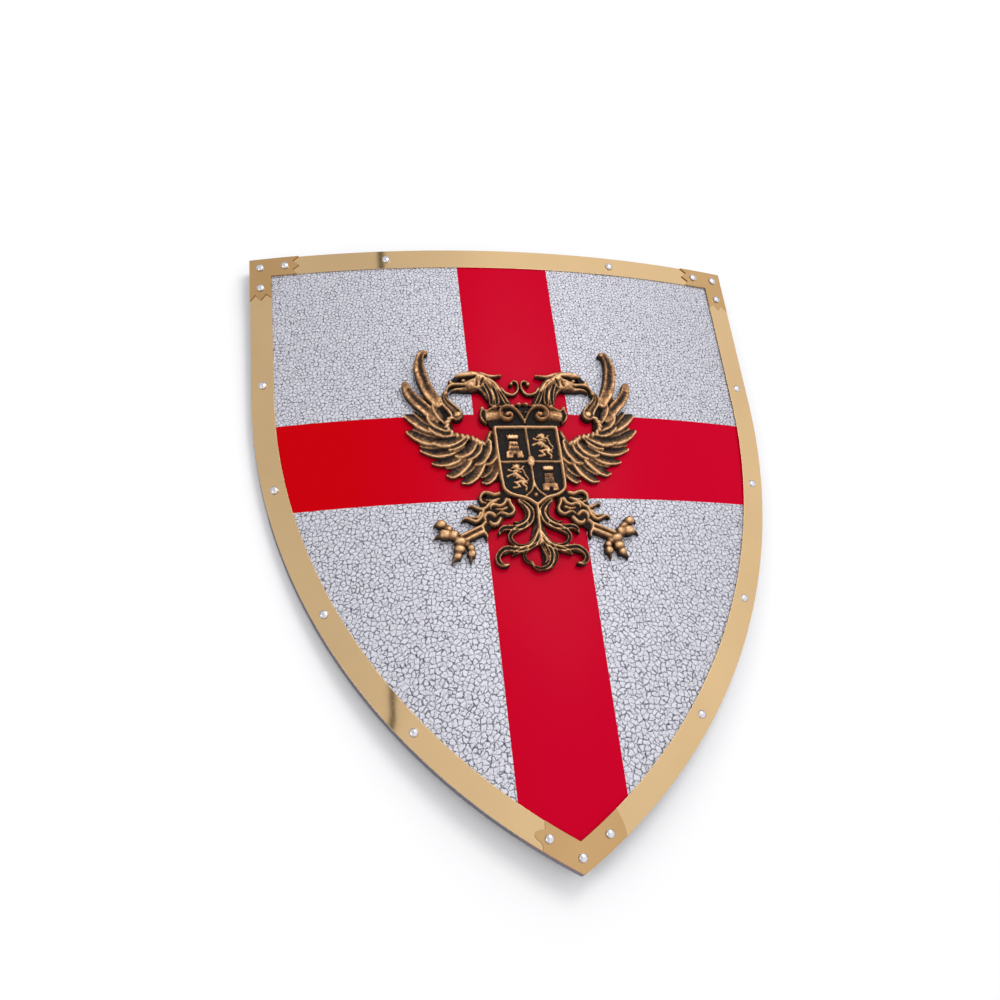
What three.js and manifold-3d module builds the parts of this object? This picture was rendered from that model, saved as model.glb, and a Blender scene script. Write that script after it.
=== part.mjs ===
// A decorative heater shield: one curved steel sheet with its edge turned back, brass strips and
// plates riveted round the rim, and a cast two-headed eagle in the middle.
//
// Every piece is drawn on the unrolled sheet first: u runs across it along its curve, v runs up
// towards the top edge, and h is the height over the sheet's painted face. The origin of that
// drawing is the middle of the top edge. Bending then rolls u round the shield's upright axis.

import * as THREE from 'three';
import { mergeVertices } from 'three/addons/utils/BufferGeometryUtils.js';
import Module from 'manifold-3d';

const wasm = await Module();
wasm.setup();

// Driving dimensions of the shield, in millimetres
const LENGTH = 610;            // from the top edge to the tip
const HALF_WIDTH = 252;        // along the curve, from the middle to a side
const STRAIGHT_SIDE = 163;     // the sides run straight down this far, then curve in
const BEND_RADIUS = 1100;      // the sheet is a piece of a cylinder about an upright axis
const SHEET = 1.5;             // thickness of the steel
const FLANGE = 10;             // depth of the edge that is turned back
const BALANCE = 250;           // the centre of mass is this far below the top edge
const GAP = 0.3;               // clearance between pieces that touch

// Rim: strips, corner plates and rivets
const BRASS = 0.8;             // thickness of strips and plates
const RIM_BREADTH = 21.3;
const CORNER_ALONG_TOP = 46;   // how far a corner plate reaches along the top edge
const CORNER_DOWN_SIDE = 46;   // and down the side
const TOOTH_DEPTH = 4.5;       // of the cut ends of the corner plates
const TIP_TEETH_INNER = [28, -560.4];   // the tip plate's cut ends run from here
const TIP_TEETH_OUTER = [40, -594.4];   // to here
const HEAD_RADIUS = 3.9;       // a rivet's domed head
const HEAD_HEIGHT = 2.4;
const SHANK_RADIUS = 1.5;
const HOLE_RADIUS = 1.9;
const SIDE_RIVET_DROPS = [147, 258, 380, 488];
const TOP_RIVET_U = 117;
const CORNER_RIVET_INSET = 35;
const TIP_RIVET_U = 25;
const ROUND_SIDES = 6;         // sides of a rivet and of its hole, to keep the faces few

// How finely the curved sheet is divided
const FACET = 36;              // breadth of one flat facet across the curve
const FACETS = 15;             // an odd number, so that the middle one faces straight forwards
const SIDE_SEGMENTS = 8;       // along each half of a curved side
const BLOCK_SEGMENTS = 3;      // along each curve of the casting's blocks
const BAR_SIDES = 3;           // sides of a stroke of the casting
const BOSS_SIDES = 5;
const BOSS_TIERS = 3;
const REACH = 60;              // cutters reach this far above and below the face

// Heights of the casting over the painted face
const FOOT = -1.5;             // strokes start below the face and are trimmed level afterwards
const WEB_HEIGHT = 1.8;
const FLIGHT_HEIGHT = 4.6;
const COVERT_HEIGHT = 6.6;
const LOCK_HEIGHT = 8;
const CROWN_WEB_HEIGHT = 4;
const TUCKED = 0.35;           // the part of a flight feather's length that lies under the coverts
const FEATHER_LEAN = 0.55;     // its crest leans this far to the lower edge, of half the breadth
const FIELD_HEIGHT = 5;        // the escutcheon's ground
const CHARGE_HEIGHT = 7;       // castles on it
const LION_HEIGHT = 7.6;       // and lions
const BAR_HEIGHT = 8;
const FRAME_HEIGHT = 9;
const VOLUTE_HEIGHT = 12;
const HEAD_TOP = 10.5;

// Finishes
function finish(name, color, roughness, metalness) {
  return new THREE.MeshStandardMaterial({ name, color, roughness, metalness });
}

const silverCrackle = finish('enamelled_steel', 0xd4d4de, 0.45, 0.5);
const polishedBrass = finish('polished_brass', 0xc6a878, 0.22, 1);
const brightRivet = finish('bright_rivet', 0xd9d6d0, 0.2, 1);
const antiqueBronze = finish('antique_bronze', 0x8a6645, 0.4, 1);

// The side curves are arcs that leave the straight sides without a corner and meet at the tip
const CURVED_DROP = LENGTH - STRAIGHT_SIDE;
const SIDE_RADIUS = (HALF_WIDTH ** 2 + CURVED_DROP ** 2) / (2 * HALF_WIDTH);
const SIDE_CENTRE = SIDE_RADIUS - HALF_WIDTH;

// Bending, solids and booleans

function bend(geometry) {
  const position = geometry.attributes.position;
  for (let i = 0; i < position.count; i += 1) {
    const angle = position.getX(i) / BEND_RADIUS;
    const radius = BEND_RADIUS + position.getZ(i);
    const x = radius * Math.sin(angle);
    const z = radius * Math.cos(angle) - BEND_RADIUS;
    position.setXYZ(i, x, position.getY(i), z);
  }
  return geometry;
}

function solid(geometry) {
  const bare = geometry.clone();
  bare.deleteAttribute('normal');
  bare.deleteAttribute('uv');
  const merged = mergeVertices(bare, 1e-4);
  const vertProperties = new Float32Array(merged.attributes.position.array);
  const triVerts = new Uint32Array(merged.index.array);
  return new wasm.Manifold(new wasm.Mesh({ numProp: 3, vertProperties, triVerts }));
}

function join(solids) {
  return solids.reduce((whole, piece) => whole.add(piece));
}

function toGeometry(body) {
  const mesh = body.getMesh();
  const geometry = new THREE.BufferGeometry();
  geometry.setAttribute('position', new THREE.BufferAttribute(mesh.vertProperties, 3));
  geometry.setIndex(new THREE.BufferAttribute(mesh.triVerts, 1));
  geometry.computeVertexNormals();
  return geometry;
}

function named(name, geometry, material) {
  const mesh = new THREE.Mesh(geometry, material);
  mesh.name = name;
  return mesh;
}

// The faceted layer of the bent sheet between two heights
function layer(low, high) {
  const section = new THREE.Shape();
  const radii = [BEND_RADIUS + high, BEND_RADIUS + low];
  const points = radii.map((radius) => Array.from({ length: FACETS + 1 }, (_, i) => {
    const angle = (i - FACETS / 2) * FACET / BEND_RADIUS;
    return new THREE.Vector2(radius * Math.sin(angle), radius * Math.cos(angle) - BEND_RADIUS);
  }));
  section.setFromPoints([...points[0].reverse(), ...points[1]]);
  const geometry = new THREE.ExtrudeGeometry(section, { depth: LENGTH + 2 * REACH, bevelEnabled: false });
  geometry.rotateX(Math.PI / 2);
  geometry.translate(0, REACH, 0);
  return solid(geometry);
}

// A cutter that goes straight through the sheet, with the outline drawn on the unrolled sheet
function cutter(shape) {
  const options = { depth: 2 * REACH, bevelEnabled: false, curveSegments: SIDE_SEGMENTS };
  const geometry = new THREE.ExtrudeGeometry(shape, options);
  geometry.translate(0, 0, -REACH);
  const position = geometry.attributes.position;
  for (let i = 0; i < position.count; i += 1) {
    position.setX(i, BEND_RADIUS * Math.sin(position.getX(i) / BEND_RADIUS));
  }
  return solid(geometry);
}

// A low block standing on the face, bent with the sheet
function block(shape, high, low = FOOT) {
  const options = { depth: high - low, bevelEnabled: false, curveSegments: BLOCK_SEGMENTS };
  const geometry = new THREE.ExtrudeGeometry(shape, options);
  geometry.translate(0, 0, low);
  return solid(bend(geometry));
}

function polygon(points) {
  return new THREE.Shape(points.map(([u, v]) => new THREE.Vector2(u, v)));
}

function rectangle(uLow, vLow, uHigh, vHigh) {
  return polygon([[uLow, vLow], [uHigh, vLow], [uHigh, vHigh], [uLow, vHigh]]);
}

// The shield's outline, drawn in by an inset
function outline(inset) {
  const half = HALF_WIDTH - inset;
  const radius = SIDE_RADIUS - inset;
  const sweep = Math.acos(SIDE_CENTRE / radius);
  const shape = new THREE.Shape();
  shape.moveTo(half, -inset);
  shape.lineTo(-half, -inset);
  shape.lineTo(-half, -STRAIGHT_SIDE);
  shape.absarc(SIDE_CENTRE, -STRAIGHT_SIDE, radius, Math.PI, Math.PI + sweep, false);
  shape.absarc(-SIDE_CENTRE, -STRAIGHT_SIDE, radius, -sweep, 0, false);
  return shape;
}

// Where a line parallel to the side, inset from it, stands at a given drop below the top edge
function sideU(drop, inset) {
  const below = Math.max(drop - STRAIGHT_SIDE, 0);
  return Math.sqrt((SIDE_RADIUS - inset) ** 2 - below ** 2) - SIDE_CENTRE;
}

// Rivets: centred in the strip, three on each corner plate and three on the tip plate. Their
// shanks are hammered flush behind the sheet.

const MIDLINE = RIM_BREADTH / 2;

function rivetPlaces() {
  const tipDrop = (u) => STRAIGHT_SIDE + Math.sqrt((SIDE_RADIUS - MIDLINE) ** 2 - (SIDE_CENTRE + u) ** 2);
  const cornerU = HALF_WIDTH - MIDLINE;
  const inner = HALF_WIDTH - CORNER_RIVET_INSET;
  const places = [{ name: 'rivet_tip_middle', u: 0, drop: tipDrop(0), plates: 2 }];
  for (const [side, word] of [[-1, 'left'], [1, 'right']]) {
    const place = (name, u, drop, plates) => {
      places.push({ name: `rivet_${name}`, u: side * u, drop, plates });
    };
    place(`corner_${word}`, cornerU, MIDLINE, 2);
    place(`corner_${word}_top`, inner, MIDLINE, 2);
    place(`corner_${word}_side`, cornerU, CORNER_RIVET_INSET, 2);
    place(`top_${word}`, TOP_RIVET_U, MIDLINE, 1);
    place(`tip_${word}`, TIP_RIVET_U, tipDrop(TIP_RIVET_U), 2);
    SIDE_RIVET_DROPS.forEach((drop, i) => {
      place(`side_${word}_${i + 1}`, sideU(drop, MIDLINE), drop, 1);
    });
  }
  return places;
}

const rivets = rivetPlaces();

// One cutter for all rivet holes
function holeCutter() {
  return join(rivets.map(({ u, drop }) => {
    const geometry = new THREE.CylinderGeometry(HOLE_RADIUS, HOLE_RADIUS, 2 * FLANGE, ROUND_SIDES);
    geometry.rotateX(Math.PI / 2);
    geometry.translate(u, -drop, 0);
    return solid(bend(geometry));
  }));
}

const holes = holeCutter();

function rivetGeometry(seat) {
  const profile = [
    [0, -SHEET],
    [SHANK_RADIUS, -SHEET],
    [SHANK_RADIUS, seat],
    [HEAD_RADIUS, seat],
    [HEAD_RADIUS * 0.8, seat + HEAD_HEIGHT * 0.6],
    [0, seat + HEAD_HEIGHT],
  ];
  const points = profile.map(([r, y]) => new THREE.Vector2(r, y));
  return new THREE.LatheGeometry(points, ROUND_SIDES).rotateX(Math.PI / 2);
}

function makeRivet({ name, u, drop, plates }) {
  const seat = plates * (GAP + BRASS) + GAP;
  const rivet = named(name, rivetGeometry(seat), brightRivet);
  const angle = u / BEND_RADIUS;
  rivet.position.set(BEND_RADIUS * Math.sin(angle), -drop, BEND_RADIUS * (Math.cos(angle) - 1));
  rivet.rotation.y = angle;
  return rivet;
}

// The steel body: a thin face and a turned-back flange round its edge

function makeShieldPlate() {
  const whole = layer(-FLANGE, 0).intersect(cutter(outline(0)));
  const hollow = layer(-FLANGE - 1, -SHEET).intersect(cutter(outline(SHEET)));
  return named('shield_plate', toGeometry(whole.subtract(hollow).subtract(holes)), silverCrackle);
}

// The brass strips along the rim

function rimBand(low) {
  return layer(low, low + BRASS).intersect(cutter(outline(0))).subtract(cutter(outline(RIM_BREADTH)));
}

function makeStrips() {
  const band = rimBand(GAP).subtract(holes);
  const far = HALF_WIDTH + REACH;
  const shoulder = -RIM_BREADTH - GAP;
  const top = band.intersect(cutter(rectangle(-far, -RIM_BREADTH, far, REACH)));
  const left = band.intersect(cutter(rectangle(-far, -LENGTH - REACH, -GAP / 2, shoulder)));
  const right = band.intersect(cutter(rectangle(GAP / 2, -LENGTH - REACH, far, shoulder)));
  return [
    named('rim_strip_top', toGeometry(top), polishedBrass),
    named('rim_strip_left', toGeometry(left), polishedBrass),
    named('rim_strip_right', toGeometry(right), polishedBrass),
  ];
}

// A row of saw teeth from one point to another, two teeth long
function teeth([u0, v0], [u1, v1], depth) {
  const length = Math.hypot(u1 - u0, v1 - v0);
  const out = [(v1 - v0) / length * depth, (u0 - u1) / length * depth];
  return [0, 1, 2, 3, 4].map((i) => {
    const along = i / 4;
    const lift = i % 2 === 1 ? 1 : 0;
    return [u0 + (u1 - u0) * along + out[0] * lift, v0 + (v1 - v0) * along + out[1] * lift];
  });
}

function makeCornerPlate(side, word) {
  const inner = HALF_WIDTH - RIM_BREADTH;
  const end = HALF_WIDTH - CORNER_ALONG_TOP;
  const topEnd = teeth([end, 0], [end, -RIM_BREADTH], TOOTH_DEPTH);
  const sideEnd = teeth([inner, -CORNER_DOWN_SIDE], [HALF_WIDTH, -CORNER_DOWN_SIDE], TOOTH_DEPTH);
  const points = [[HALF_WIDTH, 0], ...topEnd, [inner, -RIM_BREADTH], ...sideEnd];
  const shape = polygon(points.map(([u, v]) => [side * u, v]));
  const low = 2 * GAP + BRASS;
  const plate = layer(low, low + BRASS).intersect(cutter(shape)).subtract(holes);
  return named(`corner_plate_${word}`, toGeometry(plate), polishedBrass);
}

function makeTipPlate() {
  const end = teeth(TIP_TEETH_INNER, TIP_TEETH_OUTER, TOOTH_DEPTH);
  const mirrored = end.map(([u, v]) => [-u, v]).reverse();
  const shape = polygon([...end, [0, -LENGTH - REACH], ...mirrored]);
  const plate = rimBand(2 * GAP + BRASS).intersect(cutter(shape)).subtract(holes);
  return named('tip_plate', toGeometry(plate), polishedBrass);
}

// The casting is built up from strokes, three-sided bars laid along a curve: two feet and a
// crest. A crest over the middle makes a ridge, and one that leans to a side makes the tilted
// blade of a feather. Breadth and crest are functions of the way along.

function stroke(curve, steps, breadth, crest, lean = 0) {
  const geometry = new THREE.CylinderGeometry(1, 1, 1, BAR_SIDES, steps);
  const position = geometry.attributes.position;
  for (let i = 0; i < position.count; i += 1) {
    const along = position.getY(i) + 0.5;
    const point = curve.getPoint(along);
    const tangent = curve.getTangent(along);
    const foot = Math.sign(Math.round(position.getX(i) * 10));
    const across = (foot === 0 ? lean : foot) * breadth(along) / 2;
    const rank = position.getZ(i);
    const raised = rank > 0.9 ? crest(along) : crest(along) / 3;
    const height = foot === 0 ? raised : FOOT;
    position.setXYZ(i, point.x + tangent.y * across, point.y - tangent.x * across, height);
  }
  return solid(bend(geometry));
}

function curveThrough(points, side) {
  return new THREE.SplineCurve(points.map(([u, v]) => new THREE.Vector2(side * u, v)));
}

// A rounded ridge that swells from its first breadth and dies away to its last
function ridge(points, side, [first, last], height, steps = Math.max(2, points.length - 2)) {
  const breadth = (t) => (first + (last - first) * t) * 1.15;
  const crest = (t) => height * (1 - 0.25 * t);
  return stroke(curveThrough(points, side), steps, breadth, crest);
}

// A feather on a bowed quill; the bow is how far its middle stands out from a straight line
function featherCurve({ root, tip, bow }, side) {
  const length = Math.hypot(tip[0] - root[0], tip[1] - root[1]);
  const outwards = [(tip[1] - root[1]) / length, (root[0] - tip[0]) / length];
  const middle = [0, 1].map((i) => (root[i] + tip[i]) / 2 + 2 * bow * outwards[i]);
  const points = [root, middle, tip].map(([u, v]) => new THREE.Vector2(side * u, v));
  return new THREE.QuadraticBezierCurve(...points);
}

function feather(row, side, height, tucked, steps = 2) {
  const hidden = row.hidden ?? tucked;
  const tipHeight = row.tipHeight ?? height;
  const quill = featherCurve(row, side);
  const shown = (t) => hidden + (1 - hidden) * t;
  const curve = {
    getPoint: (t) => quill.getPoint(shown(t)),
    getTangent: (t) => quill.getTangent(shown(t)),
  };
  const breadth = (t) => row.breadth * Math.sin(Math.PI * (0.18 + 0.75 * shown(t))) ** 0.7;
  const crest = (t) => height + (tipHeight - height) * shown(t);
  return stroke(curve, steps, breadth, crest, side * FEATHER_LEAN);
}

// A round or oval boss standing on the face
function boss([u, v], [radiusU, radiusV], height, turn = 0) {
  const geometry = new THREE.SphereGeometry(1, BOSS_SIDES, BOSS_TIERS);
  geometry.rotateX(Math.PI / 2);
  geometry.scale(radiusU, radiusV, height - FOOT);
  geometry.rotateZ(turn);
  geometry.translate(u, v, FOOT);
  return solid(bend(geometry));
}

// Part of a spiral about a centre, as points for a stroke
function spiral([u, v], [firstRadius, lastRadius], [firstAngle, lastAngle], count) {
  return Array.from({ length: count }, (_, i) => {
    const t = i / (count - 1);
    const radius = firstRadius + (lastRadius - firstRadius) * t;
    const angle = THREE.MathUtils.degToRad(firstAngle + (lastAngle - firstAngle) * t);
    return [u + radius * Math.cos(angle), v + radius * Math.sin(angle)];
  });
}

// Wings: flight feathers from the top one down, then the row of shorter ones lying on them
const FLIGHT_FEATHERS = [
  { root: [79, -188], tip: [88, -124], bow: 9.5, breadth: 12, tipHeight: 8.5, hidden: 0, steps: 4 },
  { root: [82, -200], tip: [109, -158], bow: 7.3, breadth: 9.5, tipHeight: 7, steps: 3 },
  { root: [78, -213], tip: [110, -190], bow: 4.5, breadth: 10.5 },
  { root: [70, -221], tip: [110, -208.5], bow: 6, breadth: 11 },
  { root: [58, -227], tip: [98.5, -229.5], bow: 6, breadth: 10.5 },
  { root: [54, -229], tip: [88, -244], bow: 5, breadth: 11 },
  { root: [50, -232], tip: [77.5, -256.5], bow: 5, breadth: 11 },
  { root: [44, -236], tip: [63.5, -265.5], bow: 4.5, breadth: 10.5 },
  { root: [38, -238], tip: [46, -266], bow: 2.5, breadth: 11.5 },
];
const COVERTS = [
  { root: [74, -203], tip: [82.5, -181], bow: 2.5, breadth: 6.5 },
  { root: [73, -212], tip: [89, -195], bow: 3.5, breadth: 7.5 },
  { root: [66, -217], tip: [88.5, -206], bow: 4.5, breadth: 7.5 },
  { root: [60, -221], tip: [88, -220], bow: 5.5, breadth: 8.5 },
  { root: [54, -224], tip: [75.5, -229], bow: 4, breadth: 7 },
  { root: [50, -225], tip: [69, -236], bow: 4, breadth: 8 },
  { root: [46, -227], tip: [60, -241], bow: 3.5, breadth: 7.5 },
  { root: [41, -228], tip: [52, -246], bow: 3, breadth: 8 },
  { root: [36, -230], tip: [40, -247], bow: 1, breadth: 8 },
];
const LEADING_EDGE = [
  [36, -218], [38, -228], [44, -230], [50, -222], [58, -217], [67, -215], [73, -207], [73, -198],
];

// The thin web that the feathers stand on, out to a little past the middle of each quill
const WEB_REACH = 0.62;
const WEB_FOOT = [[34, -262], [28, -262], [28, -222]];

function wing(side) {
  const pieces = FLIGHT_FEATHERS.map((row) => feather(row, side, FLIGHT_HEIGHT, TUCKED, row.steps));
  pieces.push(...COVERTS.map((row) => feather(row, side, COVERT_HEIGHT, 0.1)));
  pieces.push(ridge(LEADING_EDGE, side, [6, 6], LOCK_HEIGHT));
  const outer = FLIGHT_FEATHERS.slice(1).map((row) => featherCurve(row, side).getPoint(WEB_REACH));
  const inner = [...WEB_FOOT, ...LEADING_EDGE.slice(2)].map(([u, v]) => new THREE.Vector2(side * u, v));
  pieces.push(block(new THREE.Shape([...outer, ...inner]), WEB_HEIGHT));
  return pieces;
}

// The round shoulder of the wing and the plume that rises from it to the beak
function shoulderScroll(side) {
  return [
    boss([side * 61.5, -193.5], [7, 6.5], 10),
    ridge([[60, -193], [69, -188], [75.5, -180], [75.5, -174], [72, -171]], side, [12, 3.5], 9),
  ];
}

// Heads, looking outwards
const NECK_LOCKS = [
  { path: [[44, -169], [38, -174], [35, -183], [35, -190], [40, -190]], breadth: [5, 3] },
  { path: [[39, -163], [30, -172], [27, -189]], breadth: [7, 5] },
  { path: [[33, -159], [21, -170], [19, -189]], breadth: [8, 5] },
  { path: [[27, -157], [15, -170], [9, -188]], breadth: [7, 4] },
];

function head(side) {
  const pieces = [
    boss([side * 45, -159], [15, 9.5], HEAD_TOP, side * -0.1),
    ridge([[38, -153], [50, -150.5], [60, -154]], side, [5, 3], HEAD_TOP + 1.5),
    boss([side * 54, -158.5], [2.2, 1.8], HEAD_TOP + 1),
    ridge([[54, -158], [64, -160.5], [70, -166], [70.5, -173.5]], side, [11, 2], 9.5),
    ridge([[46, -168.5], [56, -169], [66.5, -171]], side, [6, 2.5], 7.5),
    ridge([[48, -152], [32, -152.5], [16, -155]], side, [8, 1.6], 9),
  ];
  pieces.push(...NECK_LOCKS.map(({ path, breadth }) => ridge(path, side, breadth, LOCK_HEIGHT)));
  const throat = [[42, -166], [34, -176], [32, -190], [9, -190], [14, -172], [24, -157]];
  pieces.push(block(polygon(throat.map(([u, v]) => [side * u, v])), WEB_HEIGHT * 2));
  return pieces;
}

// The pair of small scrolls that joins the two necks
function neckScroll(side) {
  const path = [[7, -161.5], [4.5, -159.5], [1.4, -163], [1.8, -169], [7, -173.5], [14, -172.5], [20, -166]];
  return [ridge(path, side, [2.4, 4], 6.5), boss([side * 7.5, -161.5], [2, 2], 6)];
}

// The crown: a rolled band with two volutes and a beaded arch
const VOLUTE_CENTRE = [16.5, -197.5];
const CROWN_WEB = [[-1, -187], [26, -190], [36, -204], [33, -212], [-1, -212]];

function crown(side) {
  const turns = spiral(VOLUTE_CENTRE, [8.4, 4.6], [110, -200], 7);
  const arch = [[14, -189], [8, -186.5], [-1, -184.5]];
  return [
    ridge([[1.3, -209], [3.5, -200], [8, -192.5], ...turns], side, [3, 2.6], VOLUTE_HEIGHT, 9),
    boss([side * VOLUTE_CENTRE[0], VOLUTE_CENTRE[1]], [3.2, 3.2], 10),
    ridge([[23, -198.5], [32, -198.5], [41, -198.5]], side, [13, 13], 9, 2),
    ridge([[38, -191], [43, -198], [37, -206]], side, [2.5, 2.5], 9.5, 4),
    ridge(arch, side, [3.5, 3.5], 7, 3),
    boss([side * 4, -185.5], [2, 1.6], 8.5),
    boss([side * 10.5, -187.5], [2, 1.8], 8.5),
    block(polygon(CROWN_WEB.map(([u, v]) => [side * u, v])), CROWN_WEB_HEIGHT),
  ];
}

// The escutcheon: a framed ground with bars, a boss, two castles and two lions
const ESCUTCHEON = { half: 31, top: -210, shoulder: -271, corner: 9, tip: -290 };

function escutcheonShape(inset) {
  const { half, top, shoulder, corner, tip } = ESCUTCHEON;
  const u = half - inset;
  const r = corner - inset / 2;
  const shape = new THREE.Shape();
  shape.moveTo(u, top - inset);
  shape.lineTo(-u, top - inset);
  shape.lineTo(-u, shoulder);
  shape.quadraticCurveTo(-u, shoulder - r, -u + r, shoulder - r - 1 + inset * 0.1);
  shape.quadraticCurveTo(-5, shoulder - corner - 3 + inset, 0, tip + inset * 1.25);
  shape.quadraticCurveTo(5, shoulder - corner - 3 + inset, u - r, shoulder - r - 1 + inset * 0.1);
  shape.quadraticCurveTo(u, shoulder - r, u, shoulder);
  return shape;
}

// A castle of given breadth and height standing on its base line: three merlons over a gap that
// narrows to the tower, and a door left open in its foot
const CASTLE_SIDE = [
  [0.8, 1], [0.48, 1], [0.48, 0.88], [0.16, 0.88], [0.16, 1],
];
const CASTLE_WALL = [[0.8, 0.74], [0.55, 0.69], [0.65, 0.3], [1, 0.25], [1, 0], [0.24, 0], [0.24, 0.12]];

function castle([u, v], breadth, height) {
  const half = [...CASTLE_SIDE.slice().reverse(), ...CASTLE_WALL];
  const mirrored = half.map(([x, y]) => [-x, y]).reverse();
  const points = [...half, ...mirrored].map(([x, y]) => [u + x * breadth / 2, v + y * height]);
  return block(polygon(points), CHARGE_HEIGHT);
}

// A rampant lion that faces left, drawn about the middle of its body
const LION_STROKES = [
  { path: [[0, 12], [1, 1], [5, -7]], breadth: [7, 5.5] },
  { path: [[1, 6], [-8, 6.5]], breadth: [4, 2.4] },
  { path: [[1, 2], [-10, -0.5]], breadth: [4, 2.4] },
  { path: [[4, -5], [-2, -8.5], [-6, -12]], breadth: [4, 2.4] },
  { path: [[5, -5], [6, -14]], breadth: [4, 2.2] },
  { path: [[5, -6], [10, -3], [7, 2], [6, 10.5]], breadth: [2, 2.4] },
];

function lion([u, v]) {
  return LION_STROKES.map(({ path, breadth }) => {
    const placed = path.map(([x, y]) => [u + x, v + y]);
    return ridge(placed, 1, breadth, LION_HEIGHT, path.length - 1);
  });
}

function escutcheon() {
  const hollow = block(escutcheonShape(3.2), REACH, FIELD_HEIGHT);
  const frame = block(escutcheonShape(0), FRAME_HEIGHT).subtract(hollow);
  const middle = -247;
  const lowerArc = (side) => [[1.2, -268], [3.5, -276], [10, -282.5]].map(([u, v]) => [side * u, v]);
  return [
    frame,
    block(rectangle(-1.3, -287, 1.3, -211), BAR_HEIGHT),
    block(rectangle(-29, middle - 1.3, 29, middle + 1.3), BAR_HEIGHT),
    boss([0, middle], [3.4, 5.5], FRAME_HEIGHT + 1),
    ridge(lowerArc(-1), 1, [2, 2], BAR_HEIGHT, 3),
    ridge(lowerArc(1), 1, [2, 2], BAR_HEIGHT, 3),
    castle([-14, -243.5], 16, 24),
    castle([15.5, -278.5], 14.5, 26),
    ...lion([14, -230]),
    ...lion([-13.5, -264]),
  ];
}

// Thighs: wavy locks springing from the escutcheon's lower sides
const THIGH_LOCKS = [
  { path: [[31, -276], [38, -280], [45, -276.5], [51, -279.5], [50, -286.5], [45, -288]], breadth: [4, 2.6] },
  { path: [[28, -283], [36, -289.5], [44, -288.5], [53, -292], [62, -288.5]], breadth: [5, 2] },
  { path: [[28, -290], [36, -295], [44, -296], [42, -303]], breadth: [5, 3] },
  { path: [[24, -285], [20, -292], [26, -300], [35, -303], [42, -309], [48, -305]], breadth: [4.5, 3] },
  { path: [[44, -292], [51, -297], [57, -304], [67, -301]], breadth: [6, 2] },
  { path: [[44, -302], [51, -304], [54, -312], [49, -321]], breadth: [5, 2.4] },
];

function leg(side) {
  const pieces = THIGH_LOCKS.map(({ path, breadth }) => ridge(path, side, breadth, LOCK_HEIGHT));
  const thigh = [[20, -279], [33, -274], [48, -286], [54, -304], [48, -313], [38, -307], [22, -296]];
  pieces.push(block(polygon(thigh.map(([u, v]) => [side * u, v])), WEB_HEIGHT * 2));
  pieces.push(ridge([[50, -309], [60, -314.5], [72, -320.5]], side, [10, 8], 8.5, 3));
  return [...pieces, ...foot(side)];
}

// A foot: toes that swell at each knuckle and end in a talon
const TOES = [
  { path: [[73, -319], [80, -317], [88, -318], [95.5, -328]], size: 9 },
  { path: [[73, -319], [80, -312], [87, -307.5], [96.5, -313]], size: 8.5 },
  { path: [[72, -318], [72, -325], [73, -332], [74, -343]], size: 10 },
  { path: [[70, -320], [64, -326], [61.5, -332], [61.5, -343]], size: 8.5 },
];

function foot(side) {
  return TOES.map(({ path, size }) => {
    const knuckles = (t) => size * (t > 0.95 ? 0.15 : 0.72 + 0.4 * Math.sin(Math.PI * 5 * t) ** 2);
    const crest = (t) => LOCK_HEIGHT * (1 - 0.5 * t ** 3);
    return stroke(curveThrough(path, side), 5, knuckles, crest);
  });
}

// Tail: a stem with pairs of scrolling leaves, and a loop at the bottom
const TAIL_LEAVES = [
  {
    path: [[2, -290], [7, -297], [9, -305], [16, -312.5], [27, -312.5], [34, -313], [37, -319]],
    breadth: [5, 2.6],
  },
  { path: [[5, -285], [13, -293], [12, -302], [17, -309], [23, -308], [27, -305.5]], breadth: [3.5, 2.2] },
  {
    path: [[1, -308], [5, -320], [12, -328], [20, -330.5], [28, -326], [29.5, -320], [26, -316]],
    breadth: [4, 3],
  },
  {
    path: [[1, -318], [6, -328], [16, -334], [28, -332], [37, -335], [42, -342], [38, -349.5], [32, -350]],
    breadth: [5, 3.2],
  },
  { path: [[10, -331], [20, -336.5], [28.5, -340.5]], breadth: [3, 1.4] },
];
const TAIL_LOOPS = [
  { side: -1, path: [[0, -324], [8, -332], [15.5, -337.5], [16.5, -343], [10, -347.5]], breadth: [3.4, 2.4] },
  {
    side: 1,
    path: [[0, -322], [6, -331], [8.5, -340], [5, -350], [-3, -353.5], [-9, -350], [-10.5, -346]],
    breadth: [4, 2.6],
  },
  { side: 1, path: [[3, -322], [9.5, -332], [12, -341], [8, -350]], breadth: [3.4, 2.4] },
];

function tail() {
  const pieces = [ridge([[0, -286], [0, -305], [0, -326]], 1, [5, 6], LOCK_HEIGHT, 4)];
  for (const side of [-1, 1]) {
    pieces.push(...TAIL_LEAVES.map(({ path, breadth }) => ridge(path, side, breadth, LOCK_HEIGHT)));
  }
  pieces.push(...TAIL_LOOPS.map(({ side, path, breadth }) => ridge(path, side, breadth, LOCK_HEIGHT)));
  return pieces;
}

// All strokes become one casting, whose back follows the painted sheet
function makeEmblem() {
  const pieces = [...escutcheon(), ...tail()];
  for (const side of [-1, 1]) {
    pieces.push(...wing(side), ...shoulderScroll(side), ...leg(side));
    pieces.push(...head(side), ...neckScroll(side), ...crown(side));
  }
  const casting = join(pieces).intersect(layer(GAP, REACH));
  return named('eagle_emblem', toGeometry(casting), antiqueBronze);
}

// The shield lies on its back and rests on its two side edges, under its centre of mass. The
// edges curve down and round there, so the top end stands a little higher than the tip.
function restTilt() {
  const half = sideU(BALANCE, 0);
  const narrowing = (BALANCE - STRAIGHT_SIDE) / (half + SIDE_CENTRE);
  return Math.atan(Math.sin(half / BEND_RADIUS) * narrowing);
}

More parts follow.
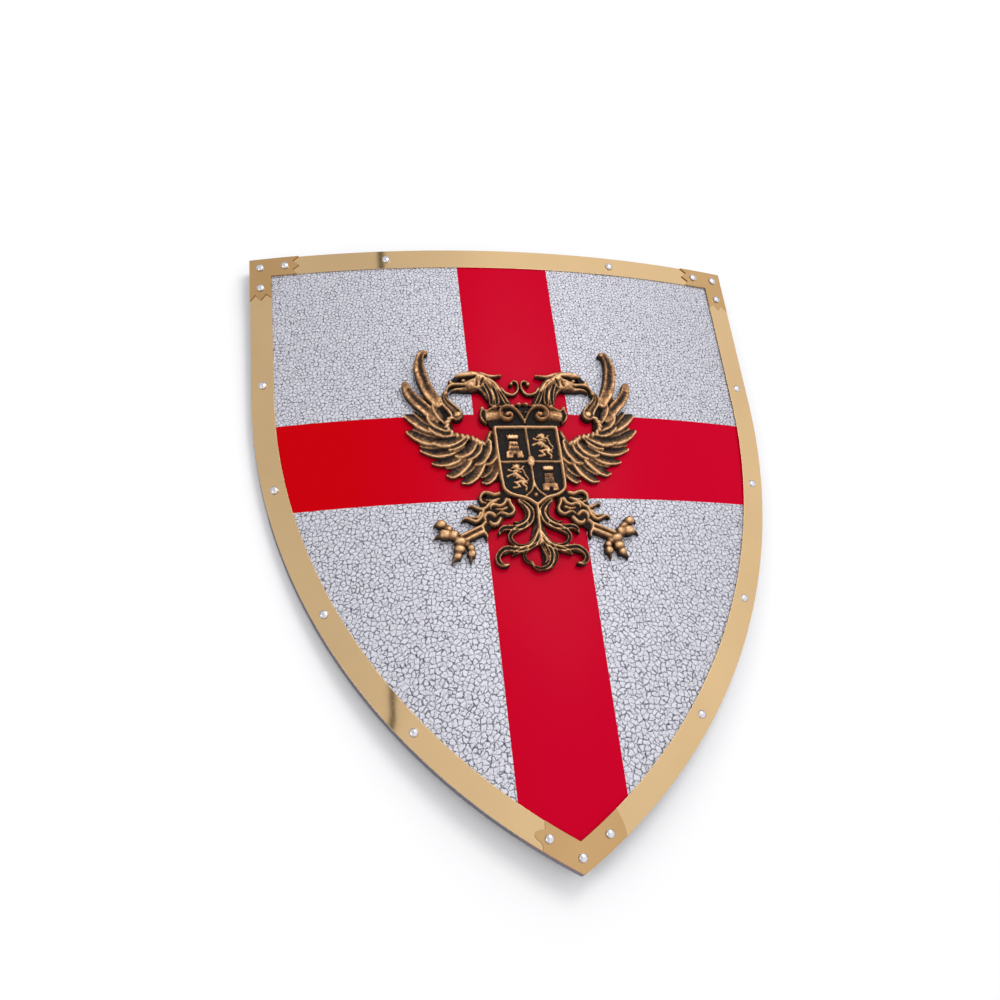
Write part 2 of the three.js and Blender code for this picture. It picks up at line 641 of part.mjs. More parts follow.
const lying = new THREE.Group();
lying.rotation.x = restTilt();
lying.add(makeShieldPlate(), ...makeStrips());
lying.add(makeCornerPlate(-1, 'left'), makeCornerPlate(1, 'right'), makeTipPlate());
lying.add(...rivets.map(makeRivet));
lying.add(makeEmblem());

const shield = new THREE.Group();
shield.add(lying);
shield.updateMatrixWorld(true);
const box = new THREE.Box3().setFromObject(lying, true);
lying.position.set(0, -(box.min.y + box.max.y) / 2, -box.min.z);

export default shield;
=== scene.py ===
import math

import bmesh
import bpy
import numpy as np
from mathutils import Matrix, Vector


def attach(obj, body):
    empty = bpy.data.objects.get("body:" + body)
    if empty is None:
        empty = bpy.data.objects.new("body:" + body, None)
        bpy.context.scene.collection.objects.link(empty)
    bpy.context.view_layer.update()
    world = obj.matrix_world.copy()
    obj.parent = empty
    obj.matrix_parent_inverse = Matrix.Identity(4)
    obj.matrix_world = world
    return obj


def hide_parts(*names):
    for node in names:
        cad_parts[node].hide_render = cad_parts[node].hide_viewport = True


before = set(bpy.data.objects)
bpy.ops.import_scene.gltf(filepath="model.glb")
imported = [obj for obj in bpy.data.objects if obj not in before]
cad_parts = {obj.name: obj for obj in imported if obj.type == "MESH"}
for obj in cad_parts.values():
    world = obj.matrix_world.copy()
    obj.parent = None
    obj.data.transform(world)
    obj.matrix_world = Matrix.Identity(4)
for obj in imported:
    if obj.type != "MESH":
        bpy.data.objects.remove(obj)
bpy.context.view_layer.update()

# %% [markdown]
# # A heater shield with a cast eagle
# The real shield is one curved steel sheet, painted with a silver crackle enamel and a red cross.
# Brass strips and plates are riveted round its rim, and a cast bronze eagle sits in the middle.
# The solids of the frame carry the sizes. This script dresses them: each piece is drawn flat,
# on the unrolled sheet, and bent afterwards, as a metalworker cuts a blank before rolling it.

MM = 0.001

# %% [markdown]
# ## One drawing for every piece
# u runs across the unrolled sheet along its curve, v runs up towards the top edge and h is the
# height over the painted face. The origin is the middle of the top edge. Numbers are millimetres,
# and only the bending turns them into the metres of the frame. Drawing flat keeps every outline
# simple, and all pieces then share exactly one curvature, so nothing floats or sinks in.

# %% Sizes of the real shield
LENGTH = 610
HALF_WIDTH = 252
STRAIGHT_SIDE = 163
BEND_RADIUS = 1100
SHEET = 1.5
FLANGE = 10
GAP = 0.3
BRASS = 0.8
RIM_BREADTH = 21.3
CURVED_DROP = LENGTH - STRAIGHT_SIDE
SIDE_RADIUS = (HALF_WIDTH**2 + CURVED_DROP**2) / (2 * HALF_WIDTH)
SIDE_CENTRE = SIDE_RADIUS - HALF_WIDTH
LYING_TILT = math.radians(2.13387)
LYING_PLACE = Vector((0, 304.098, 46.729))
UP_FROM_SHIELD = Vector((0, -math.sin(LYING_TILT), math.cos(LYING_TILT)))
print("radius of the side curves:", round(SIDE_RADIUS, 1), "mm")


# %% Bending the drawing into the frame
def place(drawn):
    u, v, h = np.asarray(drawn, float).T
    turn = u / BEND_RADIUS
    across = (BEND_RADIUS + h) * np.sin(turn)
    out = (BEND_RADIUS + h) * np.cos(turn) - BEND_RADIUS
    c, s = math.cos(LYING_TILT), math.sin(LYING_TILT)
    bent = np.stack([across, c * v - s * out, s * v + c * out], axis=1)
    return (bent + np.array(LYING_PLACE)) * MM


def bend(bm):
    for vert, spot in zip(bm.verts, place([v.co for v in bm.verts])):
        vert.co = spot


def side_u(drop, inset=0):
    below = max(drop - STRAIGHT_SIDE, 0)
    return math.sqrt(max((SIDE_RADIUS - inset) ** 2 - below**2, 0)) - SIDE_CENTRE


print("half-width at the tip:", round(side_u(LENGTH), 3), "mm")

# %% [markdown]
# ## Materials
# A node material is a small recipe. One function adds a node with its settings and links, and
# takes the first output of a node that is given as an input. Another turns the hex colour that a
# colour picker gives into the linear numbers that Blender mixes.


# %% Colour and node helpers
def linear(hex_colour):
    channels = [int(hex_colour[i : i + 2], 16) / 255 for i in (1, 3, 5)]
    return tuple(c / 12.92 if c <= 0.04045 else ((c + 0.055) / 1.055) ** 2.4 for c in channels) + (1,)


def add_node(tree, kind, inputs=None, **settings):
    node = tree.nodes.new("ShaderNode" + kind)
    for name, value in settings.items():
        setattr(node, name, value)
    for socket, value in (inputs or {}).items():
        source = value.outputs[0] if isinstance(value, bpy.types.Node) else value
        if isinstance(source, bpy.types.NodeSocket):
            tree.links.new(source, node.inputs[socket])
        else:
            node.inputs[socket].default_value = source
    return node


def new_material(name):
    material = bpy.data.materials.new(name)
    material.use_nodes = True
    material.node_tree.nodes.clear()
    return material, material.node_tree


# %% [markdown]
# ## Crackle enamel with a red cross
# Crackle paint is a silver coat that shrinks while it dries over a dark one, so the coat tears
# into small plates with dark hairlines between them. It was sprayed thicker towards the tip, and
# a thicker coat tears into larger plates: about 3 mm at the top and 6 mm at the tip. Aluminium
# flakes in it make it partly metallic. The cross is masked and sprayed afterwards in gloss red,
# which fills the cracks. A painted reflection of the room tints the red bluish from the middle
# rightwards, and it stays warmer on its left arm. The turned-back edge
# and the back were left as grey primed steel. Everything reads Object coordinates, and a Mapping
# node turns them back into the sheet's own millimetres.

# %% Where a point lies on the sheet
CROSS_HALF = 46.2
CROSS_MIDDLE = -0.4
CROSS_TOP = -192.3
CROSS_BOTTOM = -281.8
PAINT_DEPTH = 0.6
enamel, tree = new_material("crackle_enamel_on_steel")
in_frame = add_node(tree, "TexCoord").outputs["Object"]
lying = {1: LYING_PLACE * MM, 2: (LYING_TILT, 0, 0), 3: (MM, MM, MM)}
sheet_mm = add_node(tree, "Mapping", {0: in_frame, **lying}, vector_type="TEXTURE")
across, up, out = add_node(tree, "SeparateXYZ", {0: sheet_mm}).outputs

# %% Plate units, in which every plate is one unit broad
# Millimetres times plates to the millimetre. That number falls evenly from top to tip, so across
# the sheet the number at that height counts, and along it the mean from the top down to there.
PLATES_AT_TOP = 0.32
PLATES_AT_TIP = 0.18
down_the_sheet = {0: up, 1: 0.0, 2: -LENGTH, 3: PLATES_AT_TOP}
density = add_node(tree, "MapRange", {**down_the_sheet, 4: PLATES_AT_TIP}, clamp=False)
mean = (PLATES_AT_TOP + PLATES_AT_TIP) / 2
mean_density = add_node(tree, "MapRange", {**down_the_sheet, 4: mean}, clamp=False)
plate_u = add_node(tree, "Math", {0: across, 1: density}, operation="MULTIPLY")
plate_v = add_node(tree, "Math", {0: up, 1: mean_density}, operation="MULTIPLY")
plate_units = add_node(tree, "CombineXYZ", {0: plate_u, 1: plate_v})
print("plates:", round(1 / PLATES_AT_TOP, 1), "mm at the top,", round(1 / PLATES_AT_TIP, 1), "mm at the tip")

# %% The net of cracks
# Strain varies over the sheet. It sets how far the main cracks open, and where fine ones join in.
flat_noise = {"noise_dimensions": "2D"}
to_edges = {"voronoi_dimensions": "2D", "feature": "DISTANCE_TO_EDGE"}
wander = add_node(tree, "TexNoise", {"Vector": plate_units, "Scale": 1.7, "Detail": 4.0}, **flat_noise)
strain = add_node(tree, "TexNoise", {"Vector": plate_units, "Scale": 0.8, "Detail": 2.0}, **flat_noise)
wavy = {0: wander.outputs["Color"], 1: (0.8, 0.8, 0), 2: plate_units}
wandering = add_node(tree, "VectorMath", wavy, operation="MULTIPLY_ADD")
crack_breadth = add_node(tree, "MapRange", {0: strain, 1: 0.32, 2: 0.62, 3: 0.05, 4: 0.2})
main_net = add_node(tree, "TexVoronoi", {"Vector": wandering, "Scale": 1.0}, **to_edges)
fine_net = add_node(tree, "TexVoronoi", {"Vector": wandering, "Scale": 1.9}, **to_edges)
main_cracks = add_node(tree, "MapRange", {0: main_net, 1: 0.0, 2: crack_breadth, 3: 1.0, 4: 0.0})
fine_cracks = add_node(tree, "MapRange", {0: fine_net, 1: 0.0, 2: 0.09, 3: 1.0, 4: 0.0})
fine_where = add_node(tree, "MapRange", {0: strain, 1: 0.62, 2: 0.42, 3: 0.0, 4: 0.7})
fine_shown = add_node(tree, "Math", {0: fine_cracks, 1: fine_where}, operation="MULTIPLY")
cracks = add_node(tree, "Math", {0: main_cracks, 1: fine_shown}, operation="MAXIMUM")

# %% The masked cross, and the bare steel deeper than the paint reaches round the edge
beside_middle = add_node(tree, "Math", {0: across, 1: CROSS_MIDDLE}, operation="SUBTRACT")
distance_across = add_node(tree, "Math", {0: beside_middle}, operation="ABSOLUTE")
upright = add_node(tree, "Math", {0: distance_across, 1: CROSS_HALF}, operation="LESS_THAN")
under_top = add_node(tree, "Math", {0: up, 1: CROSS_TOP}, operation="LESS_THAN")
over_bottom = add_node(tree, "Math", {0: up, 1: CROSS_BOTTOM}, operation="GREATER_THAN")
arms = add_node(tree, "Math", {0: under_top, 1: over_bottom}, operation="MULTIPLY")
cross = add_node(tree, "Math", {0: upright, 1: arms}, operation="MAXIMUM")
squared = add_node(tree, "Math", {0: across, 1: across}, operation="MULTIPLY")
over_bend = add_node(tree, "Math", {0: squared, 1: 0.5 / BEND_RADIUS, 2: out}, operation="MULTIPLY_ADD")
behind = add_node(tree, "Math", {0: over_bend, 1: -PAINT_DEPTH}, operation="LESS_THAN")

# %% Colours and gloss
plate_tone = add_node(tree, "TexNoise", {"Vector": plate_units, "Scale": 1.6, "Detail": 3.0}, **flat_noise)
silver = add_node(tree, "Mix", {0: plate_tone, 6: linear("#cbcbd4"), 7: linear("#dedde5")}, data_type="RGBA")
crackled = add_node(tree, "Mix", {0: cracks, 6: silver.outputs[2], 7: linear("#252538")}, data_type="RGBA")
# Painted reflection: the red is painted bluish from the middle rightwards, as a mirrored room would tint it,
# and stays warmer on the left arm.
bluish_painted_reflection = add_node(tree, "MapRange", {0: across, 1: -170.0, 2: -20.0})
red = add_node(tree, "Mix", {0: bluish_painted_reflection, 6: linear("#c2000b"), 7: linear("#c40026")}, data_type="RGBA")
face = add_node(tree, "Mix", {0: cross, 6: crackled.outputs[2], 7: red.outputs[2]}, data_type="RGBA")
colour = add_node(tree, "Mix", {0: behind, 6: face.outputs[2], 7: linear("#77727a")}, data_type="RGBA")
gloss = add_node(tree, "MapRange", {0: cross, 3: 0.5, 4: 0.22})
silver_share = add_node(tree, "MapRange", {0: cross, 3: 0.3, 4: 0.0})
smooth_plates = add_node(tree, "MapRange", {0: main_net, 1: 0.0, 2: 0.3}, interpolation_type="SMOOTHSTEP")
raised = add_node(tree, "Math", {0: smooth_plates, 1: cross}, operation="MAXIMUM")
relief = add_node(tree, "Bump", {"Strength": 0.4, "Distance": 0.15 * MM, "Height": raised})
finish = {"Base Color": colour.outputs[2], "Roughness": gloss, "Metallic": silver_share, "Normal": relief}
paint = add_node(tree, "BsdfPrincipled", {**finish, "Specular IOR Level": 0.02})
add_node(tree, "OutputMaterial", {"Surface": paint})
print("enamel:", len(tree.nodes), "nodes")

# %% [markdown]
# ## Polished brass
# Sheet brass, rolled, buffed to a mirror and lacquered. A mirror shows the room and not itself,
# so its colour is only the tint that brass gives to white. Rolled sheet is never quite flat, and
# a broad, very shallow bump bends the reflections as the real one does. A noise scale counts the
# patches to the metre: 16 makes them 62 mm broad, and 900 makes them 1.1 mm broad.


# %% Brass for strips and plates
def brass_material(name, light, dark, roughness):
    material, tree = new_material(name)
    place_on_it = add_node(tree, "TexCoord").outputs["Object"]
    patches = add_node(tree, "TexNoise", {"Vector": place_on_it, "Scale": 16.0, "Detail": 3.0})
    tint = add_node(tree, "Mix", {0: patches, 6: linear(dark), 7: linear(light)}, data_type="RGBA")
    # Buffing marks are finer than 0.1 mm; they are drawn 1 mm broad so that they show.
    buffing = add_node(tree, "TexNoise", {"Vector": place_on_it, "Scale": 900.0, "Detail": 2.0})
    haze = add_node(tree, "MapRange", {0: buffing, 3: roughness - 0.02, 4: roughness + 0.03})
    rolling = add_node(tree, "TexNoise", {"Vector": place_on_it, "Scale": 18.0, "Detail": 1.0})
    bump = add_node(tree, "Bump", {"Strength": 0.3, "Distance": 0.6 * MM, "Height": rolling})
    finish = {"Metallic": 1.0, "Base Color": tint.outputs[2], "Roughness": haze, "Normal": bump}
    polished = add_node(tree, "BsdfPrincipled", finish)
    add_node(tree, "OutputMaterial", {"Surface": polished})
    return material


strip_brass = brass_material("polished_sheet_brass", "#e2c08f", "#d5b587", 0.05)
plate_brass = brass_material("golden_plate_brass", "#d0ab78", "#c19a68", 0.09)
print("brass:", strip_brass.name, "and", plate_brass.name)

# %% [markdown]
# ## Bright rivets
# The rivet heads are nickel-plated steel, smaller than a fingernail and very bright. They are
# close to mirrors, with shallow dents about 2 mm broad from the hammer that closed them.

# %% Nickel for the rivet heads
nickel, tree = new_material("nickel_plated_rivet")
place_on_it = add_node(tree, "TexCoord").outputs["Object"]
dents = add_node(tree, "TexNoise", {"Vector": place_on_it, "Scale": 420.0, "Detail": 1.0})
bump = add_node(tree, "Bump", {"Strength": 0.5, "Distance": 0.5 * MM, "Height": dents})
tint = add_node(tree, "Mix", {0: dents, 6: linear("#cfcdd0"), 7: linear("#eeecf0")}, data_type="RGBA")
shine = add_node(tree, "MapRange", {0: dents, 3: 0.08, 4: 0.2})
finish = {"Metallic": 1.0, "Base Color": tint.outputs[2], "Roughness": shine, "Normal": bump}
plating = add_node(tree, "BsdfPrincipled", finish)
add_node(tree, "OutputMaterial", {"Surface": plating})
print("rivets:", nickel.name, "from", len(tree.nodes), "nodes")

# %% [markdown]
# ## Antique bronze
# The casting is plated, dipped in a black patina and rubbed by hand. Rubbing reaches only what
# stands up, so ridges are copper-gold and hollows stay black. The mesh carries this as the
# attribute "rubbed", from 0 in a hollow to 1 on a ridge, worked out while it is sculpted. The
# skin of a cast piece is a little rough, with a grain of about 1 mm.

# %% Bronze with black patina in its hollows
bronze, tree = new_material("rubbed_antique_bronze")
place_on_it = add_node(tree, "TexCoord").outputs["Object"]
rubbed = add_node(tree, "Attribute", attribute_name="rubbed").outputs["Fac"]
grain = add_node(tree, "TexNoise", {"Vector": place_on_it, "Scale": 750.0, "Detail": 4.0})
wear = add_node(tree, "Math", {0: grain, 1: 0.5, 2: rubbed}, operation="MULTIPLY_ADD")
tone = add_node(tree, "ValToRGB", {0: wear})
tone_stops = ((0.24, "#0b090a"), (0.42, "#31251e"), (0.62, "#6b4d36"), (0.84, "#a27852"), (1.0, "#d6aa7e"))
ramp = tone.color_ramp.elements
ramp[0].position, ramp[1].position = tone_stops[0][0], tone_stops[-1][0]
for stop, _ in tone_stops[1:-1]:
    ramp.new(stop)
for element, (_, hex_colour) in zip(ramp, tone_stops):
    element.color = linear(hex_colour)
metal_share = add_node(tree, "MapRange", {0: wear, 1: 0.3, 2: 0.8, 3: 0.1, 4: 0.9})
satin = add_node(tree, "MapRange", {0: wear, 1: 0.3, 2: 1.1, 3: 0.62, 4: 0.42})
pits = add_node(tree, "Bump", {"Strength": 0.5, "Distance": 0.25 * MM, "Height": grain})
finish = {"Base Color": tone, "Metallic": metal_share, "Roughness": satin, "Normal": pits}
cast_skin = add_node(tree, "BsdfPrincipled", {**finish, "Specular IOR Level": 0.2})
add_node(tree, "OutputMaterial", {"Surface": cast_skin})
print("bronze:", len(ramp), "tones from hollow to ridge")

# %% [markdown]
# ## From a mesh in the making to a finished piece
# Every finished piece's object sits at the origin, with its place in its mesh. A bevel softens
# its edges, because no real edge is perfectly sharp and a soft one catches a line of light.


# %% Finishing helper
def finish_piece(name, bm, material, replaced, solidify=0.0, bevel=0.0, sharp=30):
    bmesh.ops.recalc_face_normals(bm, faces=bm.faces)
    mesh = bpy.data.meshes.new(name)
    bm.to_mesh(mesh)
    bm.free()
    mesh.materials.append(material)
    piece = bpy.data.objects.new(name, mesh)
    bpy.context.scene.collection.objects.link(piece)
    mesh.polygons.foreach_set("use_smooth", [True] * len(mesh.polygons))
    mesh.set_sharp_from_angle(angle=math.radians(sharp))
    if solidify:
        wall = piece.modifiers.new("thickness", "SOLIDIFY")
        wall.thickness = solidify * MM
        wall.offset = -1
        wall.use_even_offset = True
    if bevel:
        edge = piece.modifiers.new("soft edge", "BEVEL")
        edge.width = bevel * MM
        edge.segments = 2
        edge.limit_method = "ANGLE"
        edge.angle_limit = math.radians(40)
        edge.harden_normals = True
    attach(piece, "root")
    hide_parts(*replaced)
    return piece


# %% [markdown]
# ## The steel sheet
# The blank is cut, rolled to a radius of 1.1 m and its edge is turned back as a flange, which
# makes the thin sheet stiff. A grid is the simplest start: each of its rows is drawn out to the
# width of the shield at that height, the last row closes to the tip, and the border is then
# extruded backwards. One thickness is added to face and flange together.

# %% Sheet with its turned-back edge
SHEET_COLUMNS = 56
SHEET_ROWS = 96
bm = bmesh.new()
bmesh.ops.create_grid(bm, x_segments=SHEET_COLUMNS, y_segments=SHEET_ROWS, size=1)
for vert in bm.verts:
    drop = (1 - vert.co.y) / 2 * LENGTH
    vert.co = (vert.co.x * side_u(drop), -drop, 0)
bmesh.ops.remove_doubles(bm, verts=bm.verts, dist=0.01)
bend(bm)
border = [edge for edge in bm.edges if edge.is_boundary]
turned = bmesh.ops.extrude_edge_only(bm, edges=border)
edge_verts = [item for item in turned["geom"] if isinstance(item, bmesh.types.BMVert)]
bmesh.ops.translate(bm, verts=edge_verts, vec=-FLANGE * MM * UP_FROM_SHIELD)
sheet = finish_piece(
    "painted_steel_sheet", bm, enamel, ["shield_plate"], solidify=SHEET, bevel=0.5
)
print("sheet:", len(sheet.data.polygons), "faces before its thickness")

# %% [markdown]
# ## Brass strips
# Three flat strips are cut to the outline and riveted on: one along the top and one down each
# side, meeting at the tip. Each is a grid too. Its columns are insets from the outline and its
# rows follow the edge, so both edges of the strip stay exactly parallel round the curve.


# %% Points along the rim
def rim_point(along, inset, side, first_drop):
    straight = STRAIGHT_SIDE - first_drop
    radius = SIDE_RADIUS - inset
    sweep = math.acos((SIDE_CENTRE + GAP / 2) / radius)
    total = straight + sweep * radius
    if along * total < straight:
        return side * (HALF_WIDTH - inset), -first_drop - along * total
    angle = (along * total - straight) / radius
    return side * (radius * math.cos(angle) - SIDE_CENTRE), -STRAIGHT_SIDE - radius * math.sin(angle)


def raise_slab(bm, low):
    for vert in bm.verts:
        vert.co.z = low + BRASS
    bend(bm)


# %% The three strips
SIDES = {"left": -1, "right": 1}


def side_strip(word, side):
    bm = bmesh.new()
    bmesh.ops.create_grid(bm, x_segments=3, y_segments=90, size=1)
    for vert in bm.verts:
        inset = (vert.co.x + 1) / 2 * RIM_BREADTH
        along = (1 - vert.co.y) / 2
        vert.co = (*rim_point(along, inset, side, RIM_BREADTH + GAP), 0)
    raise_slab(bm, GAP)
    name, node = f"brass_strip_{word}", f"rim_strip_{word}"
    return finish_piece(name, bm, strip_brass, [node], solidify=BRASS, bevel=0.2)


for word, side in SIDES.items():
    strip = side_strip(word, side)
    print(strip.name, len(strip.data.polygons), "faces")
bm = bmesh.new()
bmesh.ops.create_grid(bm, x_segments=56, y_segments=3, size=1)
for vert in bm.verts:
    vert.co = (vert.co.x * HALF_WIDTH, (vert.co.y - 1) / 2 * RIM_BREADTH, 0)
raise_slab(bm, GAP)
finish_piece(
    "brass_strip_top", bm, strip_brass, ["rim_strip_top"], solidify=BRASS, bevel=0.2
)

# %% [markdown]
# ## Corner plates and tip plate
# Small brass plates cover the joints, with their ends cut into teeth or a wave by hand snips.
# Their outlines are drawn as a closed ring of edges, which triangle_fill turns into a face even
# where the outline is hollow. Before bending, the face is sliced into narrow bands, because a
# flat face has no points inside it that could follow the curve.


# %% Plates from an outline
PLATE_LOW = 2 * GAP + BRASS
BAND = 6


def plate_from_outline(name, node, outline):
    bm = bmesh.new()
    corners = [bm.verts.new((u, v, 0)) for u, v in outline]
    ring = [bm.edges.new(pair) for pair in zip(corners, corners[1:] + corners[:1])]
    bmesh.ops.triangle_fill(bm, edges=ring, use_beauty=True, normal=(0, 0, 1))
    for u in range(-HALF_WIDTH, HALF_WIDTH, BAND):
        parts = bm.verts[:] + bm.edges[:] + bm.faces[:]
        bmesh.ops.bisect_plane(bm, geom=parts, plane_co=(u, 0, 0), plane_no=(1, 0, 0))
    bmesh.ops.recalc_face_normals(bm, faces=bm.faces)
    if bm.faces[:][0].normal.z < 0:
        bmesh.ops.reverse_faces(bm, faces=bm.faces)
    raise_slab(bm, PLATE_LOW)
    return finish_piece(name, bm, plate_brass, [node], solidify=BRASS, bevel=0.15)


# %% Corner plates: an L with snipped teeth at both ends
TEETH_FAR = 49
TEETH_NEAR = 42.5
TEETH = ((0, TEETH_FAR), (0.25, TEETH_NEAR), (0.5, TEETH_FAR), (0.75, TEETH_NEAR), (1, TEETH_FAR - 2))
inner = HALF_WIDTH - RIM_BREADTH
for word, side in SIDES.items():
    outline = [(HALF_WIDTH, 0)]
    outline += [(HALF_WIDTH - reach, -share * RIM_BREADTH) for share, reach in TEETH]
    outline += [(inner, -RIM_BREADTH)]
    outline += [(inner + (1 - share) * RIM_BREADTH, -reach) for share, reach in reversed(TEETH)]
    outline = [(side * u, v) for u, v in outline]
    plate = plate_from_outline(f"brass_corner_{word}", f"corner_plate_{word}", outline)
    print(plate.name, len(plate.data.polygons), "faces")


# %% Tip plate: one end cut in a bow, the other in a wave with a round lobe
def rim_at(u, inset):
    return -STRAIGHT_SIDE - math.sqrt((SIDE_RADIUS - inset) ** 2 - (SIDE_CENTRE + abs(u)) ** 2)


BOW_END = [
    (33.3, rim_at(33.3, RIM_BREADTH)), (35.8, -567.5), (37.6, -572.5), (38.8, -577.5),
    (39.2, rim_at(39.2, 0)),
]
WAVE_END = [
    (-31, rim_at(31, 0)), (-30.6, -586), (-32.1, -582.4), (-35, -580), (-36.4, -576.9), (-35.1, -574),
    (-31, -573), (-27.4, -573.4), (-26.8, rim_at(26.8, RIM_BREADTH)),
]
outer_edge = [(u, rim_at(u, 0)) for u in range(36, -29, -4)]
inner_edge = [(u, rim_at(u, RIM_BREADTH)) for u in range(-24, 33, 4)]
plate = plate_from_outline("brass_tip_plate", "tip_plate", BOW_END + outer_edge + WAVE_END + inner_edge)
print(plate.name, len(plate.data.polygons), "faces")

# %% [markdown]
# ## Rivets
# A rivet head is turned: half of its section is drawn once and spun round the shank. The spin
# merges its ends, and the poles are welded shut. Nineteen of them are set along the middle of
# the strips, each standing square to the sheet.

# %% Rivet heads
HEAD_RADIUS = 3.9
HEAD_HEIGHT = 2.4
HEAD_RIM = 0.35
SHANK_RADIUS = 1.5
MIDLINE = RIM_BREADTH / 2


def rivet(name, node, u, drop, plates):
    seat = plates * (GAP + BRASS) + GAP
    profile = [(0, -SHEET), (SHANK_RADIUS, -SHEET), (SHANK_RADIUS, seat), (HEAD_RADIUS, seat)]
    profile += [
        (HEAD_RADIUS * math.cos(a), seat + HEAD_RIM + (HEAD_HEIGHT - HEAD_RIM) * math.sin(a))
        for a in np.linspace(0, math.pi / 2, 9)
    ]
    profile[-1] = (0, seat + HEAD_HEIGHT)
    bm = bmesh.new()
    points = [bm.verts.new((x * MM, 0, z * MM)) for x, z in profile]
    edges = [bm.edges.new(pair) for pair in zip(points, points[1:])]
    shape = points + edges
    bmesh.ops.spin(bm, geom=shape, axis=(0, 0, 1), cent=(0, 0, 0), angle=math.tau, steps=28, use_merge=True)
    bmesh.ops.remove_doubles(bm, verts=bm.verts, dist=0.00001)
    foot = Vector(place([(u, -drop, 0)])[0])
    turn = Matrix.Rotation(LYING_TILT, 4, "X") @ Matrix.Rotation(u / BEND_RADIUS, 4, "Y")
    bmesh.ops.transform(bm, matrix=Matrix.Translation(foot) @ turn, verts=bm.verts)
    return finish_piece(name, bm, nickel, [node], sharp=50)


# %% Places of the rivets
FROM_CORNER = 35
ON_TOP = 117
BESIDE_TIP = 25
DOWN_THE_SIDE = (147, 258, 380, 488)
places = [("tip_middle", 0, -rim_at(0, MIDLINE), 2)]
for word, side in SIDES.items():
    places += [
        (f"corner_{word}", side * (HALF_WIDTH - MIDLINE), MIDLINE, 2),
        (f"corner_{word}_top", side * (HALF_WIDTH - FROM_CORNER), MIDLINE, 2),
        (f"corner_{word}_side", side * (HALF_WIDTH - MIDLINE), FROM_CORNER, 2),
        (f"top_{word}", side * ON_TOP, MIDLINE, 1),
        (f"tip_{word}", side * BESIDE_TIP, -rim_at(BESIDE_TIP, MIDLINE), 2),
    ]
    for i, drop in enumerate(DOWN_THE_SIDE):
        places.append((f"side_{word}_{i + 1}", side * side_u(drop, MIDLINE), drop, 1))
for label, u, drop, plates in places:
    rivet(f"nickel_rivet_{label}", f"rivet_{label}", u, drop, plates)
print("rivets:", len(places))

# %% [markdown]
# ## The eagle, sculpted as a relief
# The eagle is a lost-wax casting: a relief with a flat back. A relief has one height over each
# point of its ground, so it can be sculpted like clay on a board: a fine grid is the board, and
# each lock, feather and scroll is a stroke that raises it where the stroke stands higher than
# what is there. A stroke has a path, a breadth and a height along it, and a section across it.
# Beside the height, each stroke leaves how much of the patina the rubbing takes off.

# %% The board
STEP = 0.55
BOARD_U = np.arange(-116, 116.1, STEP)
BOARD_V = np.arange(-358, -117.9, STEP)
board_u, board_v = np.meshgrid(BOARD_U, BOARD_V)
BARE = -1.0
height = np.full(board_u.shape, BARE)
rub = np.zeros(board_u.shape)
print("board:", board_u.shape, "points")


def window(points, reach):
    low = np.min(points, axis=0) - reach
    high = np.max(points, axis=0) + reach
    columns = slice(*np.searchsorted(BOARD_U, (low[0], high[0])))
    rows = slice(*np.searchsorted(BOARD_V, (low[1], high[1])))
    return rows, columns


def lay(where, raised, shine):
    higher = raised > height[where]
    height[where] = np.where(higher, raised, height[where])
    rub[where] = np.where(higher, shine, rub[where])


# %% Plain sections of a stroke
# x runs from -1 on a stroke's outer edge to 1 on its inner edge, and t from its root to its tip. A
# section gives the height there, as a share of the crest's, and how bright the rubbing leaves it.
def rounded(x, t):
    share = np.sqrt(np.clip(1 - x**2, 0, 1))
    return 0.25 + 0.75 * share, 0.3 + 0.7 * share


def lock(x, t):
    crest = np.exp(-((x / 0.8) ** 2))
    return 0.28 + 0.72 * crest, 1.2 * crest - 0.1


def flat(x, t):
    return np.ones_like(x), np.full_like(x, 0.14)


# %% Sections of feathers and leaves
# A blade is bright along its lower hem and sinks to a hollow under its neighbour, with fine barbs
# across it. A leaf has two bright rims, which meet in one crest at the tip of a pointed one.
def blade(hollow):
    def section(x, t):
        tilt = np.clip((0.8 - x) / 1.5, 0, 1)
        hem = np.exp(-(((x + 0.72) / 0.24) ** 2))
        fall = np.clip((np.abs(x) - 0.86) / 0.14, 0, 1)
        tip = np.clip((t - 0.86) / 0.14, 0, 1)
        barbs = np.sin(75 * t + 6 * x)
        share = hollow + (1 - hollow) * (0.8 * tilt + 0.2 * hem) - 0.25 * fall**2
        shine = 0.1 + 0.72 * tilt**1.2 + 0.2 * hem + 0.1 * tip
        return share + 0.008 * barbs, shine + 0.05 * barbs

    return section


def leaf(pointed):
    def section(x, t):
        closing = np.clip((t - 0.8) / 0.15, 0, 1) * pointed
        rims = np.exp(-(((np.abs(x) - 0.7) / 0.25) ** 2))
        crest = np.exp(-((x / 0.7) ** 2))
        lifted = (1 - closing) * rims + closing * crest
        fall = np.clip((np.abs(x) - 0.88) / 0.12, 0, 1)
        return 0.72 + 0.28 * lifted - 0.3 * fall**2, 0.06 + 0.98 * lifted

    return section


def sickle(x, t):
    streak = np.exp(-(((x - 0.15) / 0.4) ** 2)) * np.clip(t / 0.25, 0, 1) * np.clip((0.95 - t) / 0.25, 0, 1)
    fall = np.clip((np.abs(x) - 0.8) / 0.2, 0, 1)
    return 1 - 0.16 * streak - 0.4 * fall**2, 0.8 - 0.52 * streak + 0.05 * np.sin(60 * t)


# %% The path of a stroke, and where each point of the board lies beside it
POINT_EVERY = 0.5


